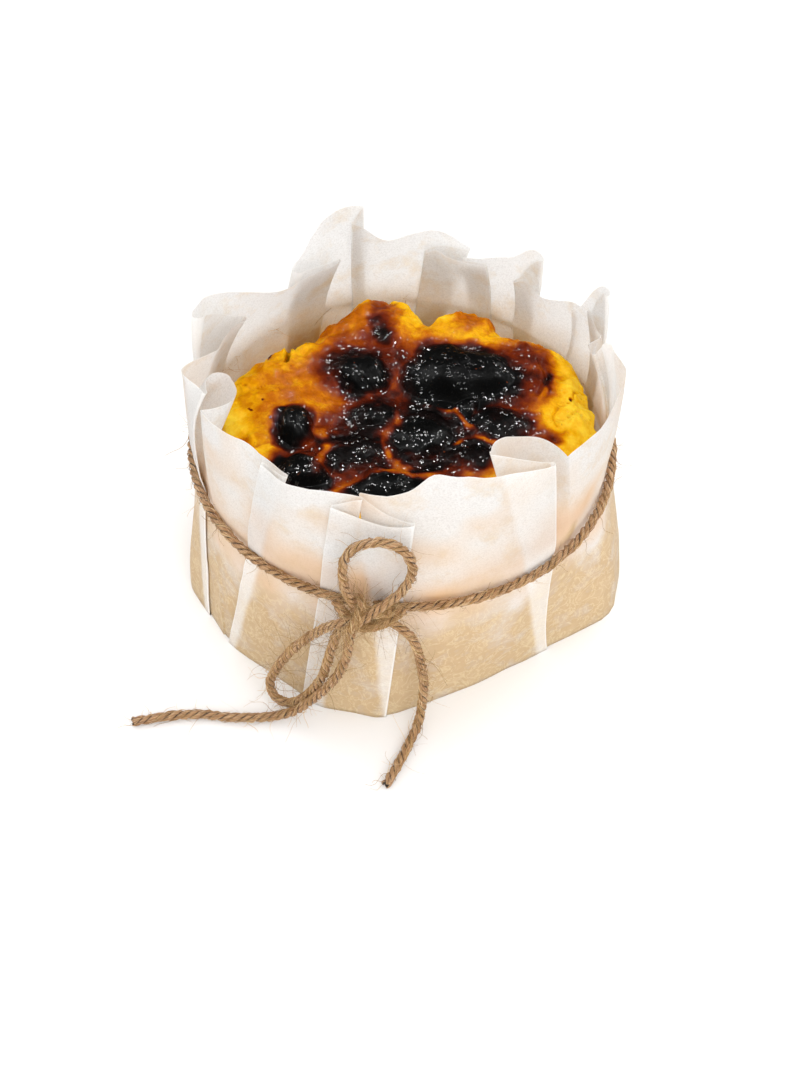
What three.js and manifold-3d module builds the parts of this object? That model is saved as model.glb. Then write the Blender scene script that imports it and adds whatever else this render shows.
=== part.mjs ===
// A small basque cheesecake in its folded sheet of baking paper, tied round with jute twine.
// Millimetres, +Z up. The origin is the middle of the flat underside of the paper.
// Angles are in degrees, counter-clockwise from +X, and the bow is on the -Y side.

import * as THREE from "three";
import { mergeVertices } from "three/addons/utils/BufferGeometryUtils.js";
import Module from "manifold-3d";

const wasm = await Module();
wasm.setup();

// ---- Driving dimensions ----

const PAPER_THICKNESS = 0.5;
const CREASE_RADIUS = 0.55;
const RIM_RADIUS = 64;
const WAIST_RADIUS = 61.8;
const WAIST_HEIGHT = 54;

const CAKE_TOP = 70;
const CAKE_SINK = 4;
const CAKE_SHOULDER = 9;
const CAKE_EDGE = 54.5;
const FIT_GAP = 0.3;

const TWINE_DIAMETER = 3.4;
const TWINE_SIDES = 8;

// ---- Small helpers ----

const mix = (a, b, t) => a + (b - a) * t;
const clamp01 = (x) => Math.min(1, Math.max(0, x));
const sine = (degrees) => Math.sin(THREE.MathUtils.degToRad(degrees));
const cosine = (degrees) => Math.cos(THREE.MathUtils.degToRad(degrees));

// Falls from 1 to 0 with level ends while x goes from 0 to 1.
const fade = (x) => {
  const t = clamp01(x);
  return (1 - t) ** 2 * (1 + 2 * t);
};

// The signed way round from one angle to another, within half a turn.
const turn = (from, to) => ((((to - from) % 360) + 540) % 360) - 180;

// A bump of height 1 at an angle, as wide as the given half width.
const swellAt = (angle, centre, halfWidth) => Math.exp(-((turn(centre, angle) / halfWidth) ** 2));

function geometryOf(positions, triangles) {
  const geometry = new THREE.BufferGeometry();
  geometry.setAttribute("position", new THREE.Float32BufferAttribute(positions, 3));
  geometry.setIndex(triangles);
  return geometry;
}

function solidOf(geometry) {
  const bare = geometry.clone();
  bare.deleteAttribute("normal");
  bare.deleteAttribute("uv");
  const merged = mergeVertices(bare, 1e-4);
  return new wasm.Manifold(
    new wasm.Mesh({
      numProp: 3,
      vertProperties: new Float32Array(merged.attributes.position.array),
      triVerts: new Uint32Array(merged.index.array),
    }),
  );
}

function geometryFrom(solid) {
  const mesh = solid.getMesh();
  return geometryOf(Array.from(mesh.vertProperties), Array.from(mesh.triVerts));
}

function joined(geometries) {
  return geometryFrom(geometries.map(solidOf).reduce((whole, piece) => whole.add(piece)));
}

// ---- Baking paper ----
// One square sheet pressed up round the cake. Its wall goes round in pleats: at each the sheet
// turns back on itself, then on again. The underside is a flattened outline with straight sides
// between its corners, the twine draws a waist, and above it the pleats open towards the rim.

const BASE_CORNERS = [
  [12, 66.5],
  [42, 65.5],
  [77, 66.5],
  [113, 66.5],
  [144, 66.5],
  [188, 68.2],
  [212, 63.6],
  [245, 64],
  [265.5, 63.4],
  [295, 55],
  [341, 69.5],
  [357, 68.5],
];

// back: angle, radius and height at the rim where the sheet turns back
// on: angle, radius and height at the rim where it turns on again
// curl: the radius of those two turns at the rim
// base: the angles of the two turns at the underside
// reach: over how many degrees the sheet then goes back to the plain wall
// lead: degrees before the pleat over which the sheet leaves the wall at the rim
// arch: a free arch of the rim that follows the pleat, as two guide points and its end
const PLEATS = [
  { back: [33.2, 62.2, 78], on: [32.2, 65, 77], curl: [0.9, 0.8], base: [39, 36] },
  { back: [56, 61.8, 71], on: [48.5, 65.3, 82], curl: [1.2, 0.9], base: [54, 50] },
  { back: [72, 60.4, 76], on: [63.8, 58.4, 78], curl: [0.7, 0.8], base: [66, 62] },
  { back: [83.5, 60.3, 76], on: [70.5, 63.4, 78], curl: [0.8, 0.8], base: [91, 88], reach: 6 },
  { back: [104.8, 61, 87], on: [100.8, 62.8, 93], curl: [0.6, 0.6], base: [105, 101] },
  {
    back: [125.5, 57, 84],
    on: [110.5, 53.8, 79],
    curl: [2.4, 0.7],
    base: [127, 121],
    lead: 12,
    reach: 34,
  },
  { back: [167.5, 62.3, 95], on: [150, 55.4, 83], curl: [2, 1.7], base: [166, 159], reach: 13 },
  {
    back: [197.5, 59.4, 96],
    on: [187, 54.5, 93],
    curl: [0.6, 3.8],
    base: [201, 196],
    lead: 14,
    arch: [[199, 48.5], [209, 52], [206.6, 64, 100]],
  },
  { back: [240, 63.4, 102], on: [232.3, 64.6, 101], curl: [0.6, 0.6], base: [222, 212] },
  { back: [258.4, 63.4, 101], on: [252, 64.6, 97], curl: [0.6, 0.6], base: [248, 241] },
  { back: [273.2, 64.6, 90], on: [259.3, 63.4, 101], curl: [0.6, 0.6], base: [265.5, 260] },
  {
    back: [311.3, 64.8, 102],
    on: [294.3, 58.4, 104],
    curl: [0.7, 0.8],
    base: [320.8, 311],
    arch: [[301, 47.5], [321, 45], [317.4, 64, 98]],
  },
  { back: [365, 60.5, 93], on: [361.5, 56.5, 92], curl: [1.6, 0.8], base: [363, 358], lead: 10 },
  { back: [385, 61.8, 80], on: [379, 64.4, 95], curl: [0.8, 1], base: [379, 375] },
];

// Where the rim stands above or below a straight line from pleat to pleat: angle, rise, half width.
const RIM_WAVES = [
  [23.5, 6, 4],
  [52.5, 4, 4],
  [79, 3, 6],
  [93, -4, 7],
  [108, 4, 8],
  [136, -5, 13],
  [222, 5, 12],
  [278, 5, 4],
  [290, 7, 15],
  [313, -2, 6],
];

const CREASE_STEPS = 3;
const CURL_STEPS = 5;
const WALL_STEP_DEGREES = 6;
const ARCH_STEPS = 8;
const ARCH_BASE_DEGREES = 8;
const FLOOR_SIDES = 60;
const OVERLAP_MARGIN = 3;
const CORNER_BLUNTING = 3;
const USUAL_REACH = 9;
const OPENING_POWER = 1.25;

// Level 0 is the underside, 0.5 the waist and 1 the rim.
const PAPER_LEVELS = [0, 0.25, 0.5, 0.65, 0.82, 1];

// Where the straight side between the two corners next to this angle runs.
function sideRadius(angle) {
  const at = ((angle % 360) + 360) % 360;
  const next = BASE_CORNERS.findIndex(([corner]) => corner > at);
  const [angleB, radiusB] = BASE_CORNERS[next < 0 ? 0 : next];
  const [angleA, radiusA] = BASE_CORNERS.at(next <= 0 ? -1 : next - 1);
  const a = [radiusA * cosine(angleA), radiusA * sine(angleA)];
  const side = [radiusB * cosine(angleB) - a[0], radiusB * sine(angleB) - a[1]];
  const across = a[0] * side[1] - a[1] * side[0];
  return across / (cosine(at) * side[1] - sine(at) * side[0]);
}

// The underside's outline, with its corners a little blunted.
const baseRadius = (angle) =>
  (sideRadius(angle - CORNER_BLUNTING) + sideRadius(angle) + sideRadius(angle + CORNER_BLUNTING)) / 3;

const openingAt = (level) => clamp01(2 * level - 1) ** OPENING_POWER;

// The plain wall: flattened sides below, round at the waist, then up to the rim.
function wallRadius(angle, level) {
  if (level <= 0.5) return mix(baseRadius(angle), WAIST_RADIUS, (2 * level) ** 1.5);
  return mix(WAIST_RADIUS, RIM_RADIUS, 1 - (2 - 2 * level) ** 2);
}

const heightAt = (rise, level) =>
  level <= 0.5 ? WAIST_HEIGHT * 2 * level : mix(WAIST_HEIGHT, rise, 2 * level - 1);

// The two turns of a pleat at a level, each with its angle, radius, height and curl.
function turnsOf(pleat, level) {
  const stack = Math.sign(pleat.on[1] - pleat.back[1]);
  const opening = openingAt(level);
  const turnAt = ([angle, radius, rise], baseAngle, side, curl) => {
    const height = heightAt(rise, level);
    const at = mix(baseAngle, angle, height / rise);
    const closed = wallRadius(at, level) + side * stack * CREASE_RADIUS;
    return {
      angle: at,
      radius: mix(closed, radius, opening),
      rise,
      curl: mix(CREASE_RADIUS, curl, opening),
    };
  };
  return {
    stack,
    back: turnAt(pleat.back, pleat.base[0], -1, pleat.curl[0]),
    on: turnAt(pleat.on, pleat.base[1], 1, pleat.curl[1]),
  };
}

// A half round of the sheet. facing is 1 where it turns back and -1 where it turns on.
function roundTurn(fold, stack, facing, steps) {
  const perMillimetre = 180 / Math.PI / fold.radius;
  return Array.from({ length: steps + 1 }, (_, i) => {
    const swing = -90 + (180 * i) / steps;
    return {
      angle: fold.angle + facing * fold.curl * (cosine(swing) - 1) * perMillimetre,
      radius: fold.radius + stack * fold.curl * sine(swing),
      rise: fold.rise,
    };
  });
}

// Points strictly between two others, evenly spaced in angle and radius.
function between(from, to, steps) {
  return Array.from({ length: steps - 1 }, (_, i) => {
    const t = (i + 1) / steps;
    return {
      angle: mix(from.angle, to.angle, t),
      radius: mix(from.radius, to.radius, t),
      rise: mix(from.rise, to.rise, t),
    };
  });
}

// The plain stretch of wall from one pleat to the next. It keeps each pleat's place in the stack
// until that pleat's own layers end, then goes over to the wall's radius. Where both pleats hold it
// to the same side, the stronger one counts.
function wallBetween(from, to, leave, arrive, level, steps) {
  const rest = (point) => point.radius - wallRadius(point.angle, level);
  return between(from, to, steps).map(({ angle, rise }) => {
    const left = rest(from) * fade((angle - from.angle - leave.hold) / leave.reach);
    const met = rest(to) * fade((to.angle - angle - arrive.hold) / arrive.reach);
    const stronger = Math.abs(left) > Math.abs(met) ? left : met;
    const offset = left * met > 0 ? stronger : left + met;
    return { angle, radius: wallRadius(angle, level) + offset, rise };
  });
}

// The arch's points after its start: a cubic curve that lies on the wall below and swings free above.
function archOf(pleat, from, level, baseEnd) {
  const opening = openingAt(level);
  const [guideA, guideB, end] = pleat.arch;
  const endAngle = mix(baseEnd, end[0], heightAt(from.rise, level) / from.rise);
  const stacked = from.radius - wallRadius(from.angle, level);
  const guide = (share, free) => {
    const angle = mix(from.angle, endAngle, share);
    const closed = wallRadius(angle, level) + stacked;
    return [mix(angle, free[0], opening), mix(closed, free[1], opening)];
  };
  const p = [
    [from.angle, from.radius],
    guide(1 / 3, guideA),
    guide(2 / 3, guideB),
    [endAngle, mix(wallRadius(endAngle, level), end[1], opening)],
  ];
  return Array.from({ length: ARCH_STEPS }, (_, i) => {
    const t = (i + 1) / ARCH_STEPS;
    const weights = [(1 - t) ** 3, 3 * t * (1 - t) ** 2, 3 * t * t * (1 - t), t ** 3];
    const sum = (axis) => weights.reduce((total, w, k) => total + w * p[k][axis], 0);
    return { angle: sum(0), radius: sum(1), rise: mix(from.rise, end[2], t) };
  });
}

const overlapOf = ({ back, on }) => back.angle - on.angle + OVERLAP_MARGIN;

const curlSteps = (curl) => (curl > 1.5 ? CURL_STEPS : CREASE_STEPS);

// Once round the sheet at a level, as points with an angle, a radius and the rim's height there.
function paperPath(level) {
  const opening = openingAt(level);
  const ordered = [...PLEATS].sort((a, b) => a.base[0] - b.base[0]);
  const path = [];
  ordered.forEach((pleat, i) => {
    const following = ordered[(i + 1) % ordered.length];
    const round = i + 1 < ordered.length ? 0 : 360;
    const turns = turnsOf(pleat, level);
    const turnedBack = roundTurn(turns.back, turns.stack, 1, curlSteps(pleat.curl[0]));
    const turnedOn = roundTurn(turns.on, turns.stack, -1, curlSteps(pleat.curl[1]));
    const layers = Math.ceil((pleat.back[0] - pleat.on[0]) / WALL_STEP_DEGREES) + 1;
    path.push(...turnedBack, ...between(turnedBack.at(-1), turnedOn[0], layers), ...turnedOn);
    let leave = { hold: overlapOf(turns), reach: pleat.reach ?? USUAL_REACH };
    if (pleat.arch) {
      path.push(...archOf(pleat, turnedOn.at(-1), level, pleat.base[0] + ARCH_BASE_DEGREES));
      leave = { hold: 0, reach: USUAL_REACH };
    }
    const next = turnsOf(following, level);
    const arrival = roundTurn(next.back, next.stack, 1, 2)[0];
    const to = { ...arrival, angle: arrival.angle + round };
    const lead = following.lead
      ? { hold: mix(overlapOf(next), 0, opening), reach: following.lead }
      : { hold: overlapOf(next), reach: USUAL_REACH };
    const span = Math.max(following.base[0] - pleat.base[1], following.back[0] - pleat.on[0]);
    const steps = Math.ceil((span + round) / WALL_STEP_DEGREES);
    path.push(...wallBetween(path.at(-1), to, leave, lead, level, steps));
  });
  return path.map((point) => ({
    x: point.radius * cosine(point.angle),
    y: point.radius * sine(point.angle),
    rise: RIM_WAVES.reduce(
      (sum, [angle, height, width]) => sum + height * swellAt(point.angle, angle, width),
      point.rise,
    ),
  }));
}

// The wall as a closed strip: both faces of the sheet, its cut rim and its lower edge.
function paperWall() {
  const positions = [];
  const rows = PAPER_LEVELS.map((level) => {
    const path = paperPath(level);
    return [1, -1].map((side) =>
      path.map((point, i) => {
        const before = path.at(i - 1);
        const after = path[(i + 1) % path.length];
        const run = Math.hypot(after.x - before.x, after.y - before.y);
        const shift = (side * PAPER_THICKNESS) / 2 / run;
        positions.push(
          point.x + shift * (after.y - before.y),
          point.y - shift * (after.x - before.x),
          heightAt(point.rise, level),
        );
        return positions.length / 3 - 1;
      }),
    );
  });
  const triangles = [];
  const strip = (lower, upper) =>
    lower.forEach((a, i) => {
      const next = (i + 1) % lower.length;
      triangles.push(a, lower[next], upper[next], a, upper[next], upper[i]);
    });
  rows.slice(1).forEach(([outer, inner], i) => {
    strip(rows[i][0], outer);
    strip(inner, rows[i][1]);
  });
  strip(rows.at(-1)[0], rows.at(-1)[1]);
  strip(rows[0][1], rows[0][0]);
  return geometryOf(positions, triangles);
}

function paperFloor() {
  const outline = Array.from({ length: FLOOR_SIDES }, (_, i) => {
    const angle = (360 * i) / FLOOR_SIDES;
    const radius = baseRadius(angle);
    return new THREE.Vector2(radius * cosine(angle), radius * sine(angle));
  });
  const options = { depth: PAPER_THICKNESS, bevelEnabled: false };
  return new THREE.ExtrudeGeometry(new THREE.Shape(outline), options);
}

// ---- Cheesecake ----
// Baked custard that sank a little in the middle and shrank from the paper. Sugar blisters stand
// on the crust, each with a centre, two half widths and a height.

const BLISTERS = [
  [17, 16.5, 16, 11, 5],
  [-11.4, 18.8, 10, 9.5, 5],
  [-31.8, -6, 6.5, 7.5, 6],
  [-28.4, -23, 7.5, 7, 5],
  [-4.2, -29, 11, 6, 4],
  [6.8, -6.6, 11.5, 10, 4],
  [19, 2.7, 4.5, 4.5, 3],
  [30, -2.6, 8.5, 7, 3],
  [-15, -15, 9, 8, 3],
  [-10.3, 2.3, 8, 5, 2.5],
  [20.7, -18.2, 5.5, 5.5, 3],
];

// Notches and hollows in the top's outline: angle, depth and half width in degrees.
const EDGE_NOTCHES = [
  [77.5, 9, 5],
  [119, 5, 13],
  [145, 9, 5],
  [215, 2, 12],
  [262, 2, 10],
];

const CAKE_SECTORS = 72;
const CAKE_RINGS = 19;
const RING_CROWDING = 0.85;
const SINK_REACH = 0.85;
const SHOULDER_SHARPNESS = 12;
const BLISTER_FULLNESS = 0.8;
const CAKE_SIDE_LEVELS = [0.5, 0.25, 0];
const CAKE_PAPER_CLEARANCE = 2.4;

function cakeEdge(angle) {
  const lean = 3 * cosine(angle - 350);
  const lumps = 0.9 * sine(7 * angle + 20) + 0.7 * sine(11 * angle + 75);
  const notches = EDGE_NOTCHES.reduce(
    (sum, [centre, depth, width]) => sum + depth * swellAt(angle, centre, width),
    0,
  );
  return CAKE_EDGE + lean + lumps - notches;
}

// The top at a share of the way out to its edge, which rolls over into the shoulder.
function cakeTop(angle, share) {
  const radius = share * cakeEdge(angle);
  const x = radius * cosine(angle);
  const y = radius * sine(angle);
  const sink = CAKE_SINK * fade(share / SINK_REACH);
  const lumps = (0.8 * sine(8 * angle) + 0.6 * sine(13 * angle + 50)) * share ** 4;
  const ripple = 0.4 * Math.sin(x / 4 + 1) * Math.sin(y / 3.5);
  const blisters = BLISTERS.map(([cx, cy, halfX, halfY, height]) => {
    const away = ((x - cx) / halfX) ** 2 + ((y - cy) / halfY) ** 2;
    return away < 1 ? height * (1 - away) ** BLISTER_FULLNESS : 0;
  });
  const z = CAKE_TOP - sink + lumps + ripple + Math.max(...blisters);
  return [x, y, z - CAKE_SHOULDER * share ** SHOULDER_SHARPNESS];
}

function cakeGeometry() {
  const bottom = PAPER_THICKNESS + FIT_GAP;
  const positions = [...cakeTop(0, 0)];
  const addRing = (pointAt) => {
    const start = positions.length / 3;
    for (let i = 0; i < CAKE_SECTORS; i++) positions.push(...pointAt((360 * i) / CAKE_SECTORS));
    return start;
  };
  const rings = [];
  for (let k = 1; k <= CAKE_RINGS; k++) {
    rings.push(addRing((a) => cakeTop(a, (k / CAKE_RINGS) ** RING_CROWDING)));
  }
  CAKE_SIDE_LEVELS.forEach((level) =>
    rings.push(
      addRing((a) => {
        const radius = wallRadius(a, level) - CAKE_PAPER_CLEARANCE;
        return [radius * cosine(a), radius * sine(a), Math.max(bottom, heightAt(0, level))];
      }),
    ),
  );
  positions.push(0, 0, bottom);
  const lowest = positions.length / 3 - 1;
  const triangles = [];
  for (let i = 0; i < CAKE_SECTORS; i++) {
    const j = (i + 1) % CAKE_SECTORS;
    triangles.push(0, rings[0] + i, rings[0] + j);
    triangles.push(lowest, rings.at(-1) + j, rings.at(-1) + i);
    rings.slice(1).forEach((ring, k) => {
      const inner = rings[k];
      triangles.push(inner + i, ring + i, ring + j, inner + i, ring + j, inner + j);
    });
  }
  return geometryOf(positions, triangles);
}

// ---- Jute twine ----
// One length of twine: a band drawn tight round the waist, a knot at the front, a small loop that
// stands up against the paper, a long loop that hangs, and two cut ends that come to lie flat.

const TWINE_RADIUS = TWINE_DIAMETER / 2;
const BAND_RADIUS = 65.3;
const BAND_TILT = 2.2;
const BAND_TILT_ANGLE = 200;
const BAND_GAP_DEGREES = 4;
const BAND_POINTS = 41;
const BAND_STEPS = 48;
const KNOT_ANGLE = 260.5;
const KNOT_CENTRE = [-11, -66.8, 55];
const KNOT_HALF_SIZE = [6.6, 3.4, 4.6];

const STANDING_LOOP = [
  [-11, -67, 55.5],
  [-14, -67.8, 61],
  [-16.3, -68.4, 69.5],
  [-16.8, -68.6, 78.4],
  [-14.7, -68.8, 85.6],
  [-10.4, -69, 89.3],
  [-4.8, -69, 89.8],
  [0, -68.8, 86.6],
  [2.8, -68.6, 80.4],
  [2.5, -68.4, 74.1],
  [-0.1, -68.2, 68.3],
  [-4.9, -68, 63.4],
  [-9, -67.6, 59],
  [-11.5, -67, 55.5],
];

const HANGING_LOOP = [
  [-12, -67, 55],
  [-16.5, -67, 52.2],
  [-22.8, -65.2, 46],
  [-30.4, -62, 34.6],
  [-35.8, -59, 24],
  [-39, -56.8, 14.5],
  [-40, -56.4, 8.6],
  [-39.2, -58.6, 5.6],
  [-36.2, -61, 5.2],
  [-32.2, -62, 7.2],
  [-26.6, -64, 13],
  [-21.8, -66, 24],
  [-18.4, -66.8, 36],
  [-16, -67.2, 46],
  [-12.5, -67, 54],
];

const LEFT_END = [
  [-11.5, -67, 54],
  [-13.2, -68.6, 46.5],
  [-14.8, -69, 38.6],
  [-17, -69, 27.8],
  [-20.6, -68.4, 16],
  [-24.4, -66.8, 8],
  [-29.5, -65, 3.2],
  [-37.1, -63.3, 1.8],
  [-44.7, -64.4, 1.8],
  [-52.3, -63.9, 1.8],
  [-61.4, -63, 1.8],
  [-70.5, -63.7, 1.8],
  [-76.5, -64.8, 1.8],
  [-81.6, -65.9, 1.8],
];

const RIGHT_END = [
  [-10.5, -67, 55],
  [-5, -67, 53.4],
  [-0.8, -67.4, 50],
  [3.2, -67.4, 44],
  [5.4, -67, 32.5],
  [6.4, -66.4, 20.5],
  [5.9, -66.2, 11],
  [4.9, -67.6, 4.4],
  [3.4, -70.6, 2],
  [2.3, -73, 1.8],
  [0.5, -77.4, 1.8],
  [-1.4, -81.9, 1.8],
  [-4.9, -89.2, 1.8],
];

const bandHeight = (angle) => WAIST_HEIGHT + BAND_TILT * cosine(angle - BAND_TILT_ANGLE);

function twineTube(points, steps) {
  const section = new THREE.Shape();
  for (let i = 0; i < TWINE_SIDES; i++) {
    const angle = (360 * (i + 0.5)) / TWINE_SIDES;
    const corner = [TWINE_RADIUS * cosine(angle), TWINE_RADIUS * sine(angle)];
    if (i === 0) section.moveTo(...corner);
    else section.lineTo(...corner);
  }
  section.closePath();
  const route = new THREE.CatmullRomCurve3(points.map((point) => new THREE.Vector3(...point)));
  return new THREE.ExtrudeGeometry(section, { steps, extrudePath: route, bevelEnabled: false });
}

function twineBand() {
  const points = Array.from({ length: BAND_POINTS }, (_, i) => {
    const angle = KNOT_ANGLE + BAND_GAP_DEGREES / 2 + ((360 - BAND_GAP_DEGREES) * i) / (BAND_POINTS - 1);
    return [BAND_RADIUS * cosine(angle), BAND_RADIUS * sine(angle), bandHeight(angle)];
  });
  return twineTube(points, BAND_STEPS);
}

function knotLump() {
  const lump = new THREE.SphereGeometry(1, 12, 8);
  lump.scale(...KNOT_HALF_SIZE);
  lump.translate(...KNOT_CENTRE);
  return lump;
}

// ---- The whole part ----

function named(name, geometry, material) {
  const mesh = new THREE.Mesh(geometry, new THREE.MeshStandardMaterial(material));
  mesh.name = name;
  return mesh;
}

const cheesecake = new THREE.Group();

cheesecake.add(
  named("cheesecake", cakeGeometry(), { color: 0xe9a21c, roughness: 0.3, metalness: 0 }),
  named("parchment", joined([paperWall(), paperFloor()]), { color: 0xf1e6da, roughness: 0.7, metalness: 0 }),
  named(
    "twine",
    joined([
      twineBand(),
      knotLump(),
      twineTube(STANDING_LOOP, 22),
      twineTube(HANGING_LOOP, 24),
      twineTube(LEFT_END, 26),
      twineTube(RIGHT_END, 18),
    ]),
    { color: 0xa88258, roughness: 0.9, metalness: 0 },
  ),
);

export default cheesecake;
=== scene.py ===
"""A small basque cheesecake in its folded baking paper, tied round with jute twine.

Shapes are worked out in millimetres, +Z up, with the origin in the middle of the flat underside, and
become metres when a mesh is made. The camera and the lamps are placed in metres. Angles are in degrees,
counter-clockwise from +X. The bow is at -Y.
"""

import math

import bpy
import numpy as np
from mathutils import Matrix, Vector


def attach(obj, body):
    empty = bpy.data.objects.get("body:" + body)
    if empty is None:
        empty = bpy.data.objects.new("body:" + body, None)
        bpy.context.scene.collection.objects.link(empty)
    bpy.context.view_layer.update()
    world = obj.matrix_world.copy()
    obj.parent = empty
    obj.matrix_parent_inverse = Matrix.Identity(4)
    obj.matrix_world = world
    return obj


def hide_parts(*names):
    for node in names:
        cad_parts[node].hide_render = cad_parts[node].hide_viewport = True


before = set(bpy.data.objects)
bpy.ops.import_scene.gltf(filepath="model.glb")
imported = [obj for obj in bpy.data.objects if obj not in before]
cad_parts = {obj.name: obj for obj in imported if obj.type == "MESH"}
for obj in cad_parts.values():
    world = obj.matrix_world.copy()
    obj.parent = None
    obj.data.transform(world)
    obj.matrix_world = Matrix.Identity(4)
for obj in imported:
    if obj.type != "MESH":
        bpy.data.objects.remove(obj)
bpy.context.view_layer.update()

# ---- Camera ----
# A short telephoto lens from in front and well above, looking down by 50 degrees at the cake.

CAMERA_PLACE = (0.000794, -0.60627, 0.73142)
CAMERA_ELEVATION = 50
CAMERA_LENS = 99.75

camera_data = bpy.data.cameras.new("camera")
camera_data.lens = CAMERA_LENS
camera = bpy.data.objects.new("camera", camera_data)
camera.location = CAMERA_PLACE
camera.rotation_euler = (math.radians(90 - CAMERA_ELEVATION), 0, 0)
bpy.context.scene.collection.objects.link(camera)
bpy.context.scene.camera = camera

# ---- Jute twine ----
# One length of three-ply jute, laid left-handed: a band drawn tight round the waist, a knot at the
# front, a small loop that stands up against the paper, a long loop that hangs, and two cut ends that
# come down to lie flat. Loose fibres stand off it everywhere, most of all at the knot.

PLIES = 3
PLY_RADIUS = 0.68
PLY_OFFSET = 0.75
LAY_LENGTH = 8.6
PLY_TWIST_LENGTH = 9
PLY_START_TURN = 2.1
PLY_SIDES = 12
RIB_HEIGHT = 0.05
STATION_SPACING = 0.5
SPAN_STEPS = 24
# How far the fibres' pattern is shifted from one ply to the next, and the depth given to a cut end's
# middle, which sets its painted shade.
PATTERN_SHIFT = 40
CUT_END_SHADE_DEPTH = 0.8

# Jute fibres are about 0.05 thick. Hairs and strands are drawn with these radii, or they wouldn't show.
# Both start some way out from the twine's middle, and are kept above the ground.
HAIR_RADII = (0.055, 0.1)
HAIR_START = 1.1
HAIR_POINTS = 9
HAIR_LOWEST = 0.3
STRAND_RADII = (0.08, 0.16)
STRAND_START = 1.2
STRAND_LIFT = 0.45
STRAND_POINTS = 11
STRAND_LOWEST = 0.2
STRAND_STATIONS = (8, 26)
STRANDS_A_HAIR = 1.1
CUT_END_FLARE = 0.22

WAIST_HEIGHT = 54
BAND_RADIUS = 63.7
BAND_TILT = 2.2
BAND_TILT_ANGLE = 200
BAND_END_GAP = 2
BAND_POINTS = 49
KNOT_ANGLE = 260.5

STANDING_LOOP = [
    (-11, -67, 55.5),
    (-14, -67.8, 61),
    (-16.3, -68.4, 69.5),
    (-16.8, -68.6, 78.4),
    (-14.7, -68.8, 85.6),
    (-10.4, -69, 89.3),
    (-4.8, -69, 89.8),
    (0, -68.8, 86.6),
    (2.8, -68.6, 80.4),
    (2.5, -68.6, 74.1),
    (-0.6, -69.4, 68),
    (-5.8, -70.6, 63.4),
    (-10.4, -71.6, 59.4),
    (-13, -71.6, 56.8),
]
HANGING_LOOP = [
    (-13.2, -71.2, 57.2),
    (-16.8, -70.6, 56),
    (-20.4, -69.4, 53),
    (-24.2, -67.2, 47.8),
    (-28.6, -64.4, 40),
    (-33.2, -61.4, 30.6),
    (-37, -58.8, 20.8),
    (-39.4, -57, 12.8),
    (-40, -56.8, 8),
    (-38.8, -58.6, 5.2),
    (-35.6, -60.8, 4.8),
    (-31.8, -62.6, 7.8),
    (-27.2, -64.8, 15.6),
    (-24, -66.4, 24.4),
    (-22.2, -67.2, 32),
    (-20.8, -67.6, 39.6),
    (-19, -67.8, 46.4),
    (-15.8, -67.6, 52.4),
    (-12.5, -67.4, 56),
]
LEFT_END = [
    (-11.5, -67, 55.5),
    (-14.4, -69.4, 51),
    (-15.5, -70, 44.6),
    (-16.4, -70, 38.4),
    (-18.2, -69.8, 32.2),
    (-20.9, -69.2, 25.6),
    (-24.3, -68, 19),
    (-28.1, -66.4, 12.4),
    (-32.2, -65.2, 6.6),
    (-36.8, -64.4, 3.2),
    (-41.5, -64.2, 2),
    (-46.5, -64.3, 1.8),
    (-53.9, -64, 1.8),
    (-61.4, -63, 1.8),
    (-70.5, -63.7, 1.8),
    (-76.5, -64.8, 1.8),
    (-81.6, -65.9, 1.8),
]
RIGHT_END = [
    (-10.5, -67, 55),
    (-5, -67.4, 53.4),
    (-0.8, -67.6, 50),
    (3.2, -67.4, 44),
    (5.4, -67, 32.5),
    (6.4, -66.4, 20.5),
    (5.9, -66.2, 11),
    (4.9, -67.6, 4.4),
    (3.4, -70.6, 2),
    (2.3, -73, 1.8),
    (0.5, -77.4, 1.8),
    (-1.4, -81.9, 1.8),
    (-4.9, -89.2, 1.8),
]
# The turns of the knot itself: a wrap round both loops, a tuck under it, and a pass above the tuck.
KNOT_WRAP = [
    (-12.2, -65.4, 61.6),
    (-11.8, -69, 61.4),
    (-12.6, -71.6, 59.2),
    (-14.4, -72.4, 56),
    (-16, -70.6, 53.2),
    (-16.4, -67, 51.8),
]
KNOT_TUCK = [
    (-19.4, -64.4, 58.2),
    (-17, -67.6, 57),
    (-14, -70, 54.8),
    (-10.6, -70.8, 54),
    (-6.4, -70, 54.4),
    (-2.6, -68.2, 55.4),
    (0.8, -65.8, 56),
]
KNOT_PASS = [
    (-14, -68, 59.4),
    (-10.8, -69.6, 60),
    (-7, -69.4, 59),
    (-3.6, -67.8, 57.4),
    (-0.6, -65.6, 55.8),
]


def linear(hexadecimal):
    """The linear colour of an sRGB hex value: below 0.04045 it is divided by 12.92, above it follows
    ((c + 0.055) / 1.055) to the power 2.4."""
    srgb = np.array([int(hexadecimal[k : k + 2], 16) / 255 for k in (1, 3, 5)])
    curve = np.where(srgb <= 0.04045, srgb / 12.92, ((srgb + 0.055) / 1.055) ** 2.4)
    return (*curve, 1.0)


def add(tree, kind, sockets=None, stops=None, **settings):
    """Adds a node. Settings are its own properties. Sockets are its inputs by name or number, each a value
    or another node's output. Stops are a colour ramp's positions with sRGB colours."""
    made = tree.nodes.new(kind)
    for name, value in settings.items():
        setattr(made, name, value)
    for key, value in (sockets or {}).items():
        if isinstance(value, bpy.types.NodeSocket):
            tree.links.new(value, made.inputs[key])
        else:
            made.inputs[key].default_value = value
    for k, (position, colour) in enumerate(stops or []):
        ramp = made.color_ramp
        stop = ramp.elements[k] if k < 2 else ramp.elements.new(position)
        stop.position, stop.color = position, linear(colour)
    return made


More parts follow.
